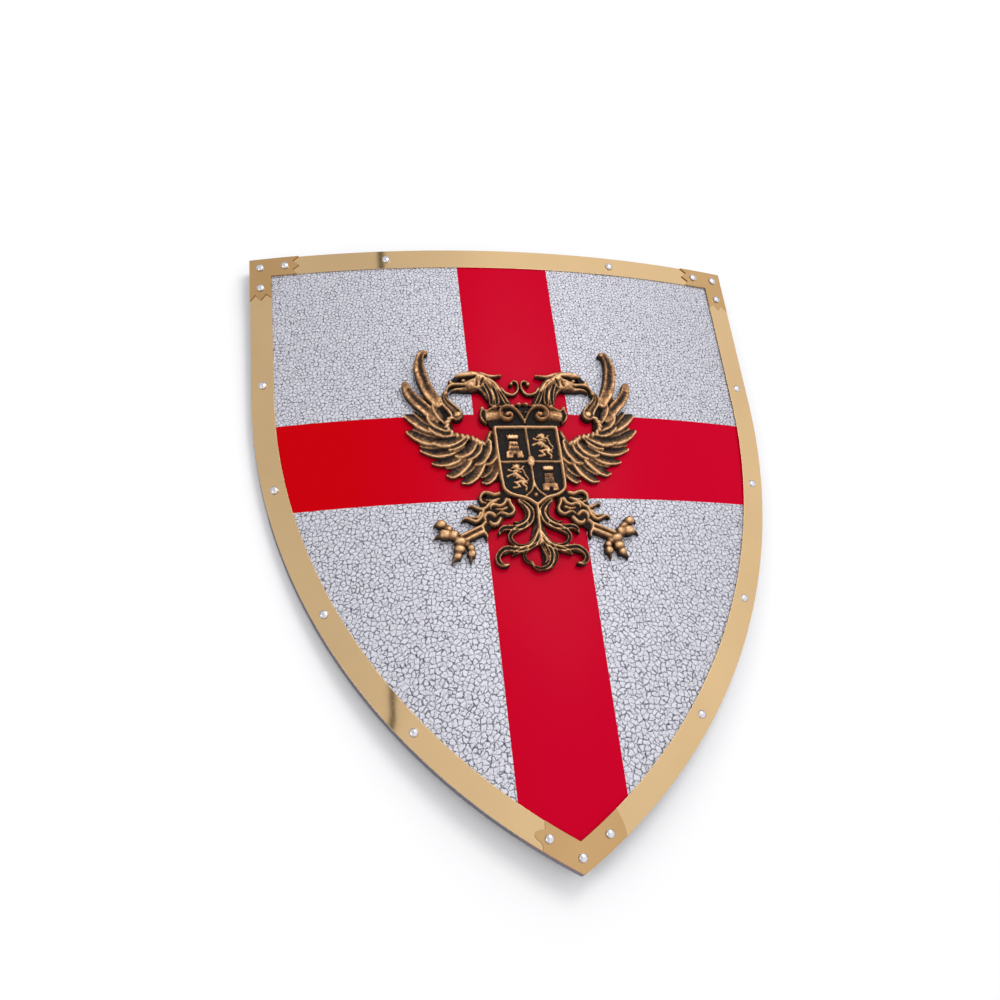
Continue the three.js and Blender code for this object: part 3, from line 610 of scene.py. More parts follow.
def smooth_path(points, side):
    points = np.array(points, float) * (side, 1)
    reach = np.hypot(*(points[-1] - points[0])) + np.hypot(*np.diff(points, axis=0).T).sum()
    count = int(np.clip(reach / POINT_EVERY, 24, 200))
    if len(points) == 2:
        return np.linspace(points[0], points[1], count)
    padded = np.vstack([2 * points[0] - points[1], points, 2 * points[-1] - points[-2]])
    spots = np.linspace(0, len(points) - 1.000001, count)
    i = spots.astype(int)
    t = (spots - i)[:, None]
    a, b, c, d = (padded[i + k] for k in range(4))
    return 0.5 * (2 * b + (c - a) * t + (2 * a - 5 * b + 4 * c - d) * t**2 + (3 * b - a - 3 * c + d) * t**3)


def beside_path(path, breadths, side):
    count = len(path)
    half = np.interp(np.linspace(0, 1, count), np.linspace(0, 1, len(breadths)), breadths) / 2
    where = window(path, half.max() + STEP)
    du = board_u[where][..., None] - path[:, 0]
    dv = board_v[where][..., None] - path[:, 1]
    nearest = np.argmin(du**2 + dv**2, axis=-1)
    du = np.take_along_axis(du, nearest[..., None], -1)[..., 0]
    dv = np.take_along_axis(dv, nearest[..., None], -1)[..., 0]
    heading = np.gradient(path, axis=0)
    heading /= np.maximum(np.hypot(*heading.T), 1e-6)[:, None]
    across = (heading[nearest, 0] * dv - heading[nearest, 1] * du) * side
    beyond = (nearest == 0) | (nearest == count - 1)
    distance = np.where(beyond, np.hypot(du, dv) * np.where(across < 0, -1, 1), across)
    x = distance / np.maximum(half[nearest], 0.05)
    return where, x, nearest / (count - 1)


# %% Laying and cutting strokes
def along(t, values):
    return np.interp(t, np.linspace(0, 1, len(values)), values)


def stroke(points, breadths, crests, section=lock, side=1, shine=1.0):
    where, x, t = beside_path(smooth_path(points, side), breadths, side)
    share, bright = section(x, t)
    raised = np.where(np.abs(x) < 1, share * along(t, crests), BARE)
    lay(where, raised, bright * shine)


def cut(points, breadths, floor, side=1, shine=0.0):
    where, x, t = beside_path(smooth_path(points, side), breadths, side)
    bowl = np.clip(1 - x**2, 0, 1) ** 0.5
    sunk = height[where] - (height[where] - floor) * bowl
    inside = (np.abs(x) < 1) & (height[where] > floor)
    height[where] = np.where(inside, sunk, height[where])
    rub[where] = np.where(inside, rub[where] * (1 - bowl) + shine * bowl, rub[where])


# %% Domes and flat panels
def dome(centre, radii, top, side=1, turn=0.0, foot=0.3, shine=1.0, square=2.5):
    centre = np.array(centre, float) * (side, 1)
    where = window([centre], max(radii) + STEP)
    du, dv = board_u[where] - centre[0], board_v[where] - centre[1]
    c, s = math.cos(turn * side), math.sin(turn * side)
    x = (du * c + dv * s) / radii[0]
    y = (dv * c - du * s) / radii[1]
    edge = np.abs(x) ** square + np.abs(y) ** square
    share = np.sqrt(np.clip(1 - edge, 0, 1))
    raised = np.where(edge < 1, top * (foot + (1 - foot) * share), BARE)
    lay(where, raised, (0.35 + 0.65 * share) * shine)


def panel(corners, top, side=1, shine=0.05):
    corners = np.array(corners, float) * (side, 1)
    where = window(corners, STEP)
    u, v = board_u[where], board_v[where]
    inside = np.zeros(u.shape, bool)
    for (u0, v0), (u1, v1) in zip(corners, np.roll(corners, -1, axis=0)):
        crosses = (v0 > v) != (v1 > v)
        inside ^= crosses & (u < (u1 - u0) * (v - v0) / (v1 - v0 if v1 != v0 else 1) + u0)
    lay(where, np.where(inside, top, BARE), np.full(u.shape, shine))


# %% [markdown]
# ## Wings
# Nine long flight feathers fan out from the wing's bone. The first two are sickles with a
# streak sunk down the middle. The others are tilted blades: the lower edge stands up bright and
# the upper half sinks under its neighbour, which is what separates feathers even at a glance.
# Edges of hidden feathers show between them, shorter coverts lie over their roots, and a
# twisted cord is the leading edge. A plume with a round ball hangs from the shoulder. One wing is
# drawn, and side mirrors it.

# %% Sickles and flight feathers: path and breadths from root to tip
SICKLES = [
    ([(80, -182), (88, -168), (92.2, -154), (94, -143), (93, -133), (90.2, -126.6), (86.6, -126.2)],
     [11, 13, 12.5, 11.5, 9, 7, 5], [7.4, 8.4, 8.4, 7.6, 7]),
    ([(83, -199), (92, -187), (99.5, -179), (105.5, -170), (108.6, -160.5)], [10, 12, 12, 11, 8],
     [6, 6.8, 7, 6.2]),
]
FLIGHT_FEATHERS = [
    ([(80, -212), (91.7, -205.5), (100, -199.8), (105.5, -195.6), (109.2, -193.4)],
     [10, 13.5, 13, 11, 7]),
    ([(74, -221), (86.5, -221), (95, -218.5), (102.4, -214.6), (108.2, -210.8)], [9, 12, 13, 11.5, 7]),
    ([(62, -227), (71, -232), (80, -234), (88, -234), (97.4, -230.6)], [8, 10, 11, 9.5, 6.5]),
    ([(56, -231), (67, -239.5), (75.5, -243.3), (83, -244.2), (88, -244)], [9, 11, 11, 9.5, 6]),
    ([(53, -235), (60, -244.5), (67, -252.3), (72.6, -256.3), (75.6, -256.4)], [10, 13, 13, 11, 6.5]),
    ([(43, -237), (47, -248), (53, -257.5), (59, -263), (62.8, -264.3)], [9, 12, 13, 11, 6.5]),
    ([(31, -239), (33.5, -250), (37.3, -259), (42, -264.2), (44.6, -264.8)], [8, 11, 12, 10, 6]),
]
print("flight feathers on each wing:", len(SICKLES) + len(FLIGHT_FEATHERS))

# %% Edges of hidden feathers, and coverts
HIDDEN_EDGES = [
    [(82, -193), (88, -183), (92, -174.5)],
    [(84, -206), (92.5, -199.2), (101.5, -190)],
    [(78, -216), (90, -213.3), (103, -207.2)],
    [(76, -226), (88, -226.3), (98, -225)],
    [(61, -241), (68.5, -246), (76.3, -248.6)],
    [(49.5, -241), (55, -250), (63.8, -257.2)],
    [(35.5, -246), (39.5, -254), (45.4, -259)],
]
COVERTS = [
    ([(75, -203), (79.3, -195.5), (82.2, -188.5), (83, -182.5)], [5.5, 7.2, 7.2, 6.1]),
    ([(74, -211), (82, -206.3), (86.6, -201.6), (89, -197.4)], [6.6, 8.2, 7.7, 6.1]),
    ([(68, -216), (76.5, -216), (83, -213.2), (88.4, -208.5)], [5.5, 7.7, 7.7, 5.4]),
    ([(56, -221), (61, -226), (66.5, -229.6), (72.6, -231)], [4.4, 6.1, 5.5, 4.5]),
    ([(60, -219), (67.5, -222.7), (74.5, -225), (81, -225), (86, -223.8)], [7.7, 9.9, 10.5, 8.8, 5.4]),
    ([(44, -225), (47, -233.5), (51.5, -239), (56.4, -241.6)], [5.5, 7.2, 6.6, 4.7]),
    ([(49, -223), (53, -230), (58, -235.2), (63.5, -238), (66.8, -237.8)], [7.7, 9.9, 9.9, 7.7, 5.4]),
    ([(31, -232), (33.3, -241), (36.5, -245.8), (40, -247.4)], [5.5, 6.6, 5.5, 4.5]),
    ([(37, -226), (38.5, -233), (42, -240), (46, -245.3), (49.6, -246.8)], [7.7, 9.4, 9.9, 7.7, 5.4]),
]


# %% One wing, from the back to the front
def wing(side):
    for path, _ in FLIGHT_FEATHERS:
        stroke(path[:3], [11, 13, 9], [2.2, 2], flat, side)
    stroke([(30, -238), (32, -250), (33, -262)], [9, 9, 6], [3, 2.6], flat, side)
    stroke([(32, -216), (32.5, -228), (31, -240)], [7, 9, 9], [3.4, 3.4], flat, side)
    stroke([(73, -188), (74, -198), (70, -209)], [12, 12, 6], [3.4, 3.4], flat, side)
    for path in HIDDEN_EDGES:
        stroke(path, [6, 6.5, 5], [4.2, 3.8], blade(0.6), side, 0.9)
    for path, breadths, crests in SICKLES:
        stroke(path, breadths, crests, sickle, side)
    for path, breadths in FLIGHT_FEATHERS:
        stroke(path, breadths, [5, 5.8, 5.2], blade(0.48), side)
    for path, breadths in COVERTS:
        stroke(path, breadths, [7.4, 7.6, 6.8], blade(0.74), side)


# %% Leading edge: a twisted cord of small knots
CORD = [
    (69.6, -199), (73, -204), (73, -210), (69.7, -214.5), (63.2, -218), (56.5, -219.4), (50.5, -221.5),
    (46.8, -225), (42.7, -227), (38.4, -225), (35.8, -219.5), (33.6, -214.5),
]
KNOTS = 12


def leading_edge(side):
    stroke(CORD, [5.2, 5.2], [6.6, 6.6], rounded, side, 0.7)
    path = smooth_path(CORD, 1)
    for i in np.linspace(2, 0.74 * len(path), KNOTS).astype(int):
        du, dv = path[min(i + 2, len(path) - 1)] - path[i - 2]
        dome(path[i], (3.6, 2), 8.4, side, math.atan2(dv, du) + 0.9, foot=0.6)


# %% Shoulder plume
def shoulder_plume(side):
    plume = [(72.4, -171), (74, -177), (71.8, -183), (67.4, -188.6), (64.2, -193.6), (63.4, -196)]
    stroke(plume, [4, 7.4, 10, 12, 13.4, 13.6], [7.6, 7.8, 8, 8.4, 8.4, 8.2], leaf(False), side, 0.9)
    stroke(plume, [1.4, 3, 6, 8, 8.6], [7.4, 7.6, 7.4, 7.6, 7.6], rounded, side, 0.62)
    dome((71.6, -171.8), (2.8, 2.6), 8.6, side)
    dome((62.8, -196), (3.5, 3.3), 9.6, side, foot=0.8, shine=0.95)
    cut([(67, -193.4), (67.4, -197.4), (64, -200.4)], [0.9, 1.2, 0.9], 7.4, side, 0.2)


for side in SIDES.values():
    wing(side)
    leading_edge(side)
    shoulder_plume(side)
print("wings cover", int((height > 0).sum() * STEP**2), "square millimetres")

# %% [markdown]
# ## Heads and necks
# Two eagle heads look outwards. The skull is a low dome with a heavy brow over a deep socket,
# the beak is hooked with a dark gape, and the neck is three tongues of feathers with bright rims
# beside a smooth throat. The deep socket and gape are cut after the dome is laid, as a sculptor
# would do it. A scroll rises between the two necks.

# %% Neck
NECK_TONGUES = [
    ([(33.6, -164), (30.6, -171.5), (29.4, -178.3), (29.6, -184.6)], [4.6, 5.6, 5.6, 4.6]),
    ([(27.6, -164), (24.8, -173.9), (23.9, -180.6), (24.2, -184.4)], [4.4, 5.4, 5.8, 5]),
    ([(21.6, -169), (17.8, -177.3), (15.8, -181.8), (14, -184.2)], [3.4, 4.8, 5.4, 4.8]),
]
THROAT = [(43, -166.4), (38, -169.4), (34.4, -174.4), (33, -179.8)]


def neck(side):
    stroke([(20, -190), (22.6, -178), (29, -169), (40, -162)], [24, 20, 17, 14], [4, 4.6, 6, 7], flat, side)
    stroke(THROAT, [4.6, 4.6, 4, 1.6], [7.6, 7.2, 6.6, 6], rounded, side, 0.72)
    for path, breadths in NECK_TONGUES:
        stroke(path, breadths, [8.8, 8.4, 7.8], leaf(False), side)


# %% Skull, crest and beak
BEAK = [(50, -166), (54.4, -163.6), (60.6, -162.6), (66, -163.2), (69.4, -166), (70.6, -170), (71, -173.6)]


def head(side):
    skull = [(58.5, -154.4), (50, -152.6), (42, -153.8), (33, -157.4)]
    stroke(skull, [5, 8.5, 12, 11], [9.6, 10.4, 10.4, 9.6], rounded, side, 0.92)
    dome((45, -162), (11, 7.5), 9.2, side, -0.1, foot=0.7, shine=0.9)
    crest = [(46, -150.6), (36, -151.8), (27, -154.2), (16.4, -152.8)]
    stroke(crest, [4.5, 5, 4.2, 1.8], [9.4, 9, 8.2, 7.2], rounded, side)
    tuft = [(39, -157.4), (32.4, -158.6), (26.6, -162.4), (22.4, -167), (19.4, -170.6)]
    stroke(tuft, [9, 10.5, 9.6, 8, 4], [9.8, 9.6, 9.4, 9, 8.6], rounded, side, 0.86)
    cut([(31, -158.8), (27, -162.6), (23.4, -167)], [0.6, 0.9, 0.7], 8.2, side, 0.35)
    stroke(BEAK, [5, 4.2, 3.8, 4, 3.6, 2.8, 1.4], [8.6, 8.8, 8.6, 8.4, 8, 7.4, 6.6], rounded, side)
    lower_jaw = [(44, -168), (54.7, -167.8), (60.9, -167.6), (65.6, -169), (67.6, -171.4)]
    stroke(lower_jaw, [6, 5.4, 4.2, 2.8, 1.4], [7.8, 7.6, 7.2, 6.6, 6], rounded, side, 0.85)


# %% Gape, socket, eye, brow and cheek
def face_of_head(side):
    gape = [(52.6, -165.2), (58, -165.4), (64, -165.8), (67, -167.8), (68.6, -170.6)]
    cut(gape, [1, 1.6, 1.8, 1.6, 0.9], 3.6, side)
    socket = [(63.4, -158), (58, -158), (53, -158), (47.6, -156.6), (42.4, -155.2)]
    cut(socket, [3.8, 6.4, 6, 4, 1.4], 5, side)
    dome((53.8, -158.8), (2.7, 1.9), 8.8, side)
    stroke([(66.4, -161.4), (61.4, -157)], [4.4, 6], [6, 5.6], flat, side)
    dome((66, -160.6), (3.2, 2.1), 8.2, side, 0.7, foot=0.7, shine=0.8)
    brow = [(61.6, -154.6), (56, -152.2), (48.4, -151.8), (41.4, -153)]
    stroke(brow, [1.8, 2.7, 2.9, 2.6], [9.6, 10.2, 10.4, 10.2], rounded, side, 0.94)
    dome((46.4, -163.4), (4.6, 3.8), 9.8, side, 0.3, foot=0.78)
    cut([(41.9, -159.6), (41.4, -162.8), (42.8, -166)], [0.7, 1.2, 0.8], 7.6, side, 0.25)
    cut([(35.4, -157.8), (37, -161), (38.4, -165)], [0.8, 1.5, 0.9], 7, side, 0.1)
    cut([(33, -155.8), (26, -157.8), (21.5, -158.8)], [0.6, 1.2, 1.4], 6, side)


# %% Scroll between the necks
NECK_SCROLL = [
    (8.3, -162.5), (6.6, -159.6), (3.4, -159.4), (1.6, -162.5), (2.4, -169), (7, -173.8), (14.4, -172),
    (18, -167),
]


def neck_scroll(side):
    crests = [7.6, 7.6, 7.2, 6.8, 6.8, 6.8, 6.8, 7]
    stroke(NECK_SCROLL, [2.4, 2.8, 3, 3.2, 3.8, 4, 4.2, 4.6], crests, lock, side)
    dome((8.3, -162.6), (2.3, 2.2), 8, side)


for side in SIDES.values():
    neck(side)
    head(side)
    face_of_head(side)
    neck_scroll(side)
print("the heads stand", round(height.max(), 1), "mm high")

# %% [markdown]
# ## Crown
# Both heads rise from one crown: a rolled band whose ends flare like trumpets, with a large
# volute on each side and leaf buds along its upper lip.

# %% Paths of the volute, and the buds
VOLUTE = [
    (-0.4, -205), (3.5, -197.2), (7, -192), (11.6, -188.8), (16.3, -188.2), (20.9, -190.4), (23, -195),
    (22, -199.8), (17.6, -202.5), (13.3, -201.7), (11.6, -198.4), (13.6, -195.8), (16.4, -197),
]
BUDS = [
    ((39.2, -190.2), (2.4, 1.9), 10.2), ((27.2, -188.6), (3, 2.2), 10),
    ((10.4, -187.8), (2.8, 2.3), 9.8), ((3.6, -185.4), (2.8, 1.6), 9),
]


# %% Rolled band with its flared ends and its upper lip
def crown(side):
    panel([(-1, -187), (24, -189), (38, -191), (35, -206), (31, -213), (-1, -213)], 4.2, side, 0.06)
    roll = [(23, -196.4), (30, -196.8), (35.5, -197.4)]
    stroke(roll, [12.5, 13, 13.5], [8.8, 8.8, 8.6], rounded, side, 0.8)
    stroke([(24, -200.6), (31, -201.6), (36, -203)], [2, 2, 2], [7.8, 7.8], lock, side, 0.5)
    dome((38.6, -198), (2.8, 6), 8.4, side, 0.1, foot=0.8, shine=0.5)
    cut([(38, -193.6), (38.8, -198), (37.6, -202.4)], [2.4, 3.2, 2.2], 6, side, 0.25)
    flare = [(39, -190.6), (41, -194.5), (41.4, -199.3), (39.8, -203.2), (36.4, -205.6)]
    stroke(flare, [2.4, 2.2, 2.2, 2.2, 2], [9.8, 9.8, 9.6, 9, 8.4], lock, side)
    lip = [(39, -190.6), (35.6, -192.6), (31, -190.4), (26, -188.6)]
    stroke(lip, [2.4, 2.4, 2.6, 3], [9.8, 9.4, 9.4, 9.6], lock, side)
    stroke([(27, -188.6), (19, -187.4), (10.4, -187.6)], [2.2, 2, 2.2], [8.8, 8.4, 8.8], lock, side)
    for centre, radii, top in BUDS:
        dome(centre, radii, top, side, -0.25 * side)
    stroke([(10, -188), (6.5, -185.8), (-1, -184.4)], [2.6, 2.6, 2.6], [6.4, 6.4, 6.4], lock, side, 0.6)
    stroke(VOLUTE, [3, 3.4, 3.6, 3.8, 4, 4, 3.8, 3.4, 3], [9, 10.5, 11.5, 12, 12, 11.5, 11], lock, side)
    dome((15.9, -197), (2.6, 2.4), 11, side)
    dome((2.6, -193), (2.4, 1.6), 6.2, side, 0.5, shine=0.4)


for side in SIDES.values():
    crown(side)
print("the crown stands", round(height.max(), 1), "mm high")

# %% [markdown]
# ## Escutcheon
# The shield on the eagle's breast is quartered, with castles and lions, the oldest and most
# usual charges. Its ground is sunk and stays black, so the bright charges read from a distance.

# %% Ground, frame and bars
# It was cast a little askew: its point lies to the right of the middle of its top.
ESCUTCHEON_TOP = -211
LEAN = 0.018


def leaning(points, side=1):
    return [(side * u - LEAN * (v - ESCUTCHEON_TOP), v) for u, v in points]


def mirrored(half):
    return half + [(-u, v) for u, v in reversed(half)]


def escutcheon_frame(side):
    edge = [(29.4, -210.4), (29.5, -240), (29, -267), (27.4, -275), (20.6, -280.4), (9, -284), (0, -290.6)]
    stroke(leaning(edge, side), [4.2, 4.2], [8.8, 8.8], rounded)
    stroke(leaning([(29.6, -210.4), (0, -210.4)], side), [4, 4], [8.8, 8.8], rounded)
    stroke(leaning([(0, -266), (2.8, -275.5), (9.6, -282)], side), [2.4, 2.4], [7.8, 7.8], rounded)


panel(leaning(mirrored([(30, -211), (30, -270), (26, -278), (10, -285), (0, -291)])), 5)
for side in SIDES.values():
    escutcheon_frame(side)
stroke(leaning([(0, -212), (0, -272)]), [3, 3], [7.8, 7.8], rounded)
stroke([(-28, -246.4), (29, -246.4)], [2.8, 2.8], [7.8, 7.8], rounded)
dome((0.7, -246.8), (3.6, 5.6), 9.6, foot=0.8)
dome((1.4, -280.6), (2.2, 2.2), 8.8)


# %% Castles, with their courses and joints of stone
def castle(foot_u, foot_v, breadth, tall, courses):
    def at(points):
        return [(foot_u + x * breadth / 2, foot_v + y * tall) for x, y in points]

    walls = [(0.5, 0.7), (0.66, 0.32), (0.92, 0.3), (1, 0.1), (1, 0)]
    panel(at(mirrored(walls)), 7.2, shine=0.66)
    battlements = [(0, 1.03), (0.17, 0.95), (0.34, 1.02), (0.5, 0.95), (0.7, 1), (0.62, 0.8)]
    panel(at(mirrored(battlements)), 7.9, shine=0.8)
    cut(at([(-1.1, 0.31), (1.1, 0.31)]), [0.7, 0.7], 6.4, shine=0.3)
    for i in range(courses):
        y = 0.36 + 0.34 * i / courses
        cut(at([(-0.75, y), (0.75, y)]), [0.75, 0.75], 6.1, shine=0.2)
        for x in (-0.34 + 0.17 * (i % 2), 0.34 - 0.17 * (i % 2)):
            cut(at([(x, y), (x, y + 0.07)]), [0.6, 0.6], 6.1, shine=0.2)
    cut(at([(0.05, 0), (0.05, 0.1)]), [3.6, 3.4], 5, shine=0)


castle(-13.6, -242.6, 16.6, 24.6, 2)
castle(16, -277, 15.4, 26, 5)

# %% Lions: body, legs, tail and head are strokes, and tufts and cuts make the coat
LION = [
    ([(1, 8), (-1.5, 4), (1, 1), (4.4, -2), (6.2, -5)], [7, 6.4, 5.4, 4.2, 4.6]),
    ([(-2, 6), (-5, 6), (-8, 7.6)], [3, 2, 2.8]),
    ([(-2, 3.4), (-5.6, 2.4), (-9.4, 0.8)], [3.4, 2.6, 3.2]),
    ([(4, -4.6), (1, -5), (-2.4, -5.8), (0.4, -8.8), (-1.6, -10.4), (-4.8, -10.6)],
     [4, 3.6, 2.6, 2.6, 2.8, 3]),
    ([(6, -5.6), (3.6, -7.2), (7, -10.2), (6.4, -12.8)], [4, 3, 2.6, 3]),
    ([(7.6, -5), (9.6, -2.4), (7.2, 2.2), (6.2, 6.2), (4.9, 9.2), (6.6, 10.8)],
     [1.8, 2, 1.8, 1.8, 2, 2.6]),
    ([(1.4, 11), (-2, 10.4), (-4.6, 9)], [5.4, 4.2, 2.2]),
    ([(-3.4, 12.6), (-1.6, 11.4), (0, 13), (1.6, 11.4), (3.2, 12.4)], [1.4, 1.6, 1.8, 1.6, 1.4]),
]
LION_TUFTS = [(3.6, 8), (3.2, 5), (-3.4, 1.2), (-1, -1), (2.2, -3.2), (8, -6.6), (-3.4, -5), (1.4, -10)]
LION_FOLDS = [(0.4, 7.4), (-0.6, 5), (1.4, 3), (3, 0.6)]


def lion(middle_u, middle_v):
    for path, breadths in LION:
        placed = [(middle_u + x, middle_v + y) for x, y in path]
        stroke(placed, breadths, [7.8, 7.5], rounded)
    for x, y in LION_TUFTS:
        dome((middle_u + x, middle_v + y), (1.3, 1.1), 7.4)
    for x, y in LION_FOLDS:
        fold = [(middle_u + x - 1.6, middle_v + y), (middle_u + x + 1.4, middle_v + y - 1)]
        cut(fold, [0.8, 0.6], 6.2, shine=0.2)


lion(14.2, -229.8)
lion(-13.4, -262.2)
print("the escutcheon stands", round(height[window([(0, -250)], 20)].max(), 1), "mm high")

# %% [markdown]
# ## Legs and feet
# Wavy locks cover the thighs. Below them the shank is two flat bars, and each toe is a row of
# knuckles, each a bead of its own, that ends in a pointed talon.

# %% Thigh locks
THIGH_LOCKS = [
    ([(32.5, -278.4), (37.2, -279.4), (40.9, -277.8), (45.3, -277), (48.8, -279.3), (50, -282.8),
      (48.6, -286.6), (45, -287.4)], [5, 4.6, 4.4, 4, 2.6]),
    ([(26.7, -284.4), (28.8, -288.6), (33.2, -290.7), (37.6, -289.4), (41.2, -290.8), (41.6, -294)],
     [5, 5, 4.6, 4, 1.6]),
    ([(36, -285.5), (42.7, -288.8), (45.6, -292), (50.3, -293.4), (54.6, -291.8), (58.2, -289.6),
      (61.6, -290.6)], [5, 5, 4.6, 4, 2]),
    ([(48, -293.5), (49.3, -297), (51.1, -301.4), (55.4, -305.3), (59.7, -304.1), (63.2, -302),
      (66.4, -301.9), (68.6, -304.3)], [5, 5.2, 5, 4.4, 2]),
    ([(51.5, -297), (54, -301), (57.8, -301.6), (62, -300.2)], [3.6, 3.2, 1.4]),
    ([(38.8, -300.3), (42.3, -297.6), (46, -298.2), (47.8, -301.8), (47, -305.4)], [5.4, 5.6, 5, 3]),
    ([(24.2, -285), (22.8, -290), (20.6, -294.3), (22.1, -298.3), (25.9, -299.8), (29.6, -298.3),
      (33.3, -297.3), (36.3, -299.3)], [4.6, 4.8, 4.6, 4, 2]),
    ([(43.6, -306.2), (42, -308.5), (38.5, -308.7), (35.8, -306.5), (33.6, -303)], [4, 5.4, 6, 5.6]),
    ([(47.8, -306.6), (50.6, -309.9), (50, -315), (47.6, -319.3), (48, -323.6)], [5, 5, 4.4, 1.8]),
    ([(33, -284), (39, -285.4), (45, -284.4)], [3.4, 3.4, 1.6]),
    ([(27, -293), (32, -294.6), (37.5, -293.5)], [3.6, 3.6, 1.6]),
]

# %% Toes: centre, radii, height and turn of each knuckle, and the talons' paths
KNUCKLES = [
    ((81, -311.4), (4.4, 3.6), 7.8, 0.7), ((87, -306.5), (5, 4.2), 9, 0.3),
    ((77, -317.4), (4.6, 5), 9, 0.1), ((84.6, -316.6), (5.6, 5), 9.8, 0.1),
    ((71.8, -324), (5.8, 4), 9.8, 0.2), ((73, -331), (5.4, 4), 9.2, 0.2),
    ((75.2, -337.4), (4.2, 3.6), 8.2, 0.3), ((66.4, -326), (3.8, 3.2), 7.2, 0.5),
    ((62.8, -330.2), (3.7, 3.2), 8.2, 0), ((62.8, -336), (4.1, 3.8), 8.4, 0),
]
TALONS = [
    [(88.5, -306.5), (92, -305.6), (94.5, -308.5)],
    [(88.4, -317.4), (92.2, -317.6), (95.4, -320.6)],
    [(76.6, -339), (79.6, -341.4), (80, -345)],
    [(63, -338), (64, -341.6), (63.6, -345.4)],
]


# %% Thigh, shank and foot
def leg(side):
    stroke([(28, -280), (40, -290), (50, -302)], [12, 22, 12], [4, 4.4], flat, side)
    stroke([(24, -286), (26, -296), (40, -303), (47, -312)], [8, 8, 9, 7], [4, 4], flat, side)
    for path, breadths in THIGH_LOCKS:
        stroke(path, [1.15 * b for b in breadths], [8.4, 8.2, 7.2], lock, side)
    stroke([(51, -310), (62, -314.8), (70.4, -318.8)], [4.6, 4.6, 5], [8.4, 8.2, 8.4], rounded, side, 0.9)
    stroke([(51.6, -316), (59.3, -319.2), (68, -323.4)], [6.8, 6.6, 6.4], [8.2, 8, 8.2], rounded, side, 0.85)
    for path in TALONS:
        stroke(path, [5, 3.4, 1], [6.8, 5.8, 3.6], rounded, side, 0.75)
    for centre, radii, top, turn in KNUCKLES:
        dome(centre, [1.04 * r for r in radii], top, side, turn, foot=0.45, square=2.7)


for side in SIDES.values():
    leg(side)
print("legs:", len(THIGH_LOCKS), "locks and", len(KNUCKLES), "knuckles each")

# %% [markdown]
# ## Tail
# A stem falls from the escutcheon's point and pairs of scrolling leaves branch off it. Each leaf
# is a ribbon with a bright rim on either side of a dark hollow. At the bottom long leaves loop
# under the stem, which beside the escutcheon is the only place where left and right differ.

# %% Webs behind the leaves, and the leaves from root to tip
TAIL_WEBS = [
    ([(12, -286), (7.4, -296), (9.4, -304.5), (16, -311), (26, -313)], [6, 8, 7, 5.5, 3]),
    ([(2, -312), (8, -327), (17, -331), (25, -327)], [6, 6, 5, 3]),
    ([(4, -324), (14, -333.6), (28, -334.6), (37, -338)], [5, 6, 5, 3]),
]
TAIL_RIMS = [
    ([(14, -286.4), (9.1, -290.4), (5.7, -294.9), (5, -299.7), (7.1, -306), (11.6, -310.6),
      (18.5, -313.9), (24.4, -317.3), (27.4, -321.6), (26, -326.4), (22.9, -329.6), (18.6, -330.9),
      (13.3, -330.4), (8.5, -327.5), (3.9, -322), (0.5, -315)],
     [3.4, 4.4, 4.8, 5, 5.4, 5.4, 5, 4, 3.6, 3.4, 3.4, 3.4, 3.6, 3.6]),
    ([(11, -309), (15.1, -312.2), (23.5, -313.1), (31.2, -312.9), (35.2, -315.4), (36.6, -318.8)],
     [4, 5, 5, 4.4, 2.2]),
    ([(16.3, -285.6), (12.4, -291), (9.8, -296.8), (10, -302.2), (13, -306.2), (17.1, -308.2),
      (22, -307.2)], [2.4, 3, 3.2, 3.2, 3, 1.8]),
    ([(1, -319), (4.6, -327.4), (9.6, -331.6), (16.3, -333.8), (22.8, -334.2), (29, -333),
      (34.2, -333.6), (38.8, -337.5), (40.6, -342.2), (39, -346.6), (35.3, -348.6), (31.8, -348.2)],
     [3.6, 4.4, 5, 5, 4.8, 4.8, 4.6, 4.6, 4.2, 3.2]),
    ([(14, -333.6), (22.8, -336.6), (27.6, -340)], [4, 4, 1.4]),
]
TAIL_LOOPS = [
    ([(1, -326), (-3.1, -328.9), (-9.7, -332.5), (-14.6, -335.9), (-16.4, -339.8), (-15.4, -344.3),
      (-11.6, -347.1), (-8.7, -349.9)], [3.4, 3.6, 3.4, 3.2, 2.4]),
    ([(0.5, -322), (6, -331), (8.5, -340), (5, -349.6), (-3, -353), (-8.4, -350.6), (-10.2, -346)],
     [3.2, 4.4, 4.2, 3.8, 2.4]),
    ([(3, -322), (9.8, -332), (12.8, -341), (9, -349.5), (2, -354)], [3, 3.6, 3.4, 2.8, 1.6]),
    ([(-1, -326), (2.5, -335), (4.4, -342), (2, -347)], [3, 3.2, 2.6, 1.4]),
]

# %% Stem and leaves are laid from the back to the front
stroke([(0, -316), (5, -338), (3, -350)], [6, 12, 8], [2.6, 2.4], flat)
for side in SIDES.values():
    for path, breadths in TAIL_WEBS:
        stroke(path, breadths, [4.6, 4.6], flat, side, 3)
stroke([(0.6, -287), (0.6, -303), (0.6, -316), (0.4, -326)], [15, 12, 9, 6], [3.4, 3.4], flat)
stroke([(1.4, -289), (1, -305), (0.6, -327)], [4.8, 5.6, 6.6], [8.2, 8, 7.6], lock)
for side in SIDES.values():
    for path, breadths in TAIL_RIMS:
        stroke(path, [1.18 * b for b in breadths], [7.8, 8.2, 8, 7.4], leaf(True), side)
for path, breadths in TAIL_LOOPS:
    stroke(path, [1.1 * b for b in breadths], [7.4, 8, 7.6, 7], leaf(True))
print("relief covers", int((height > 0).sum() * STEP**2), "square millimetres")

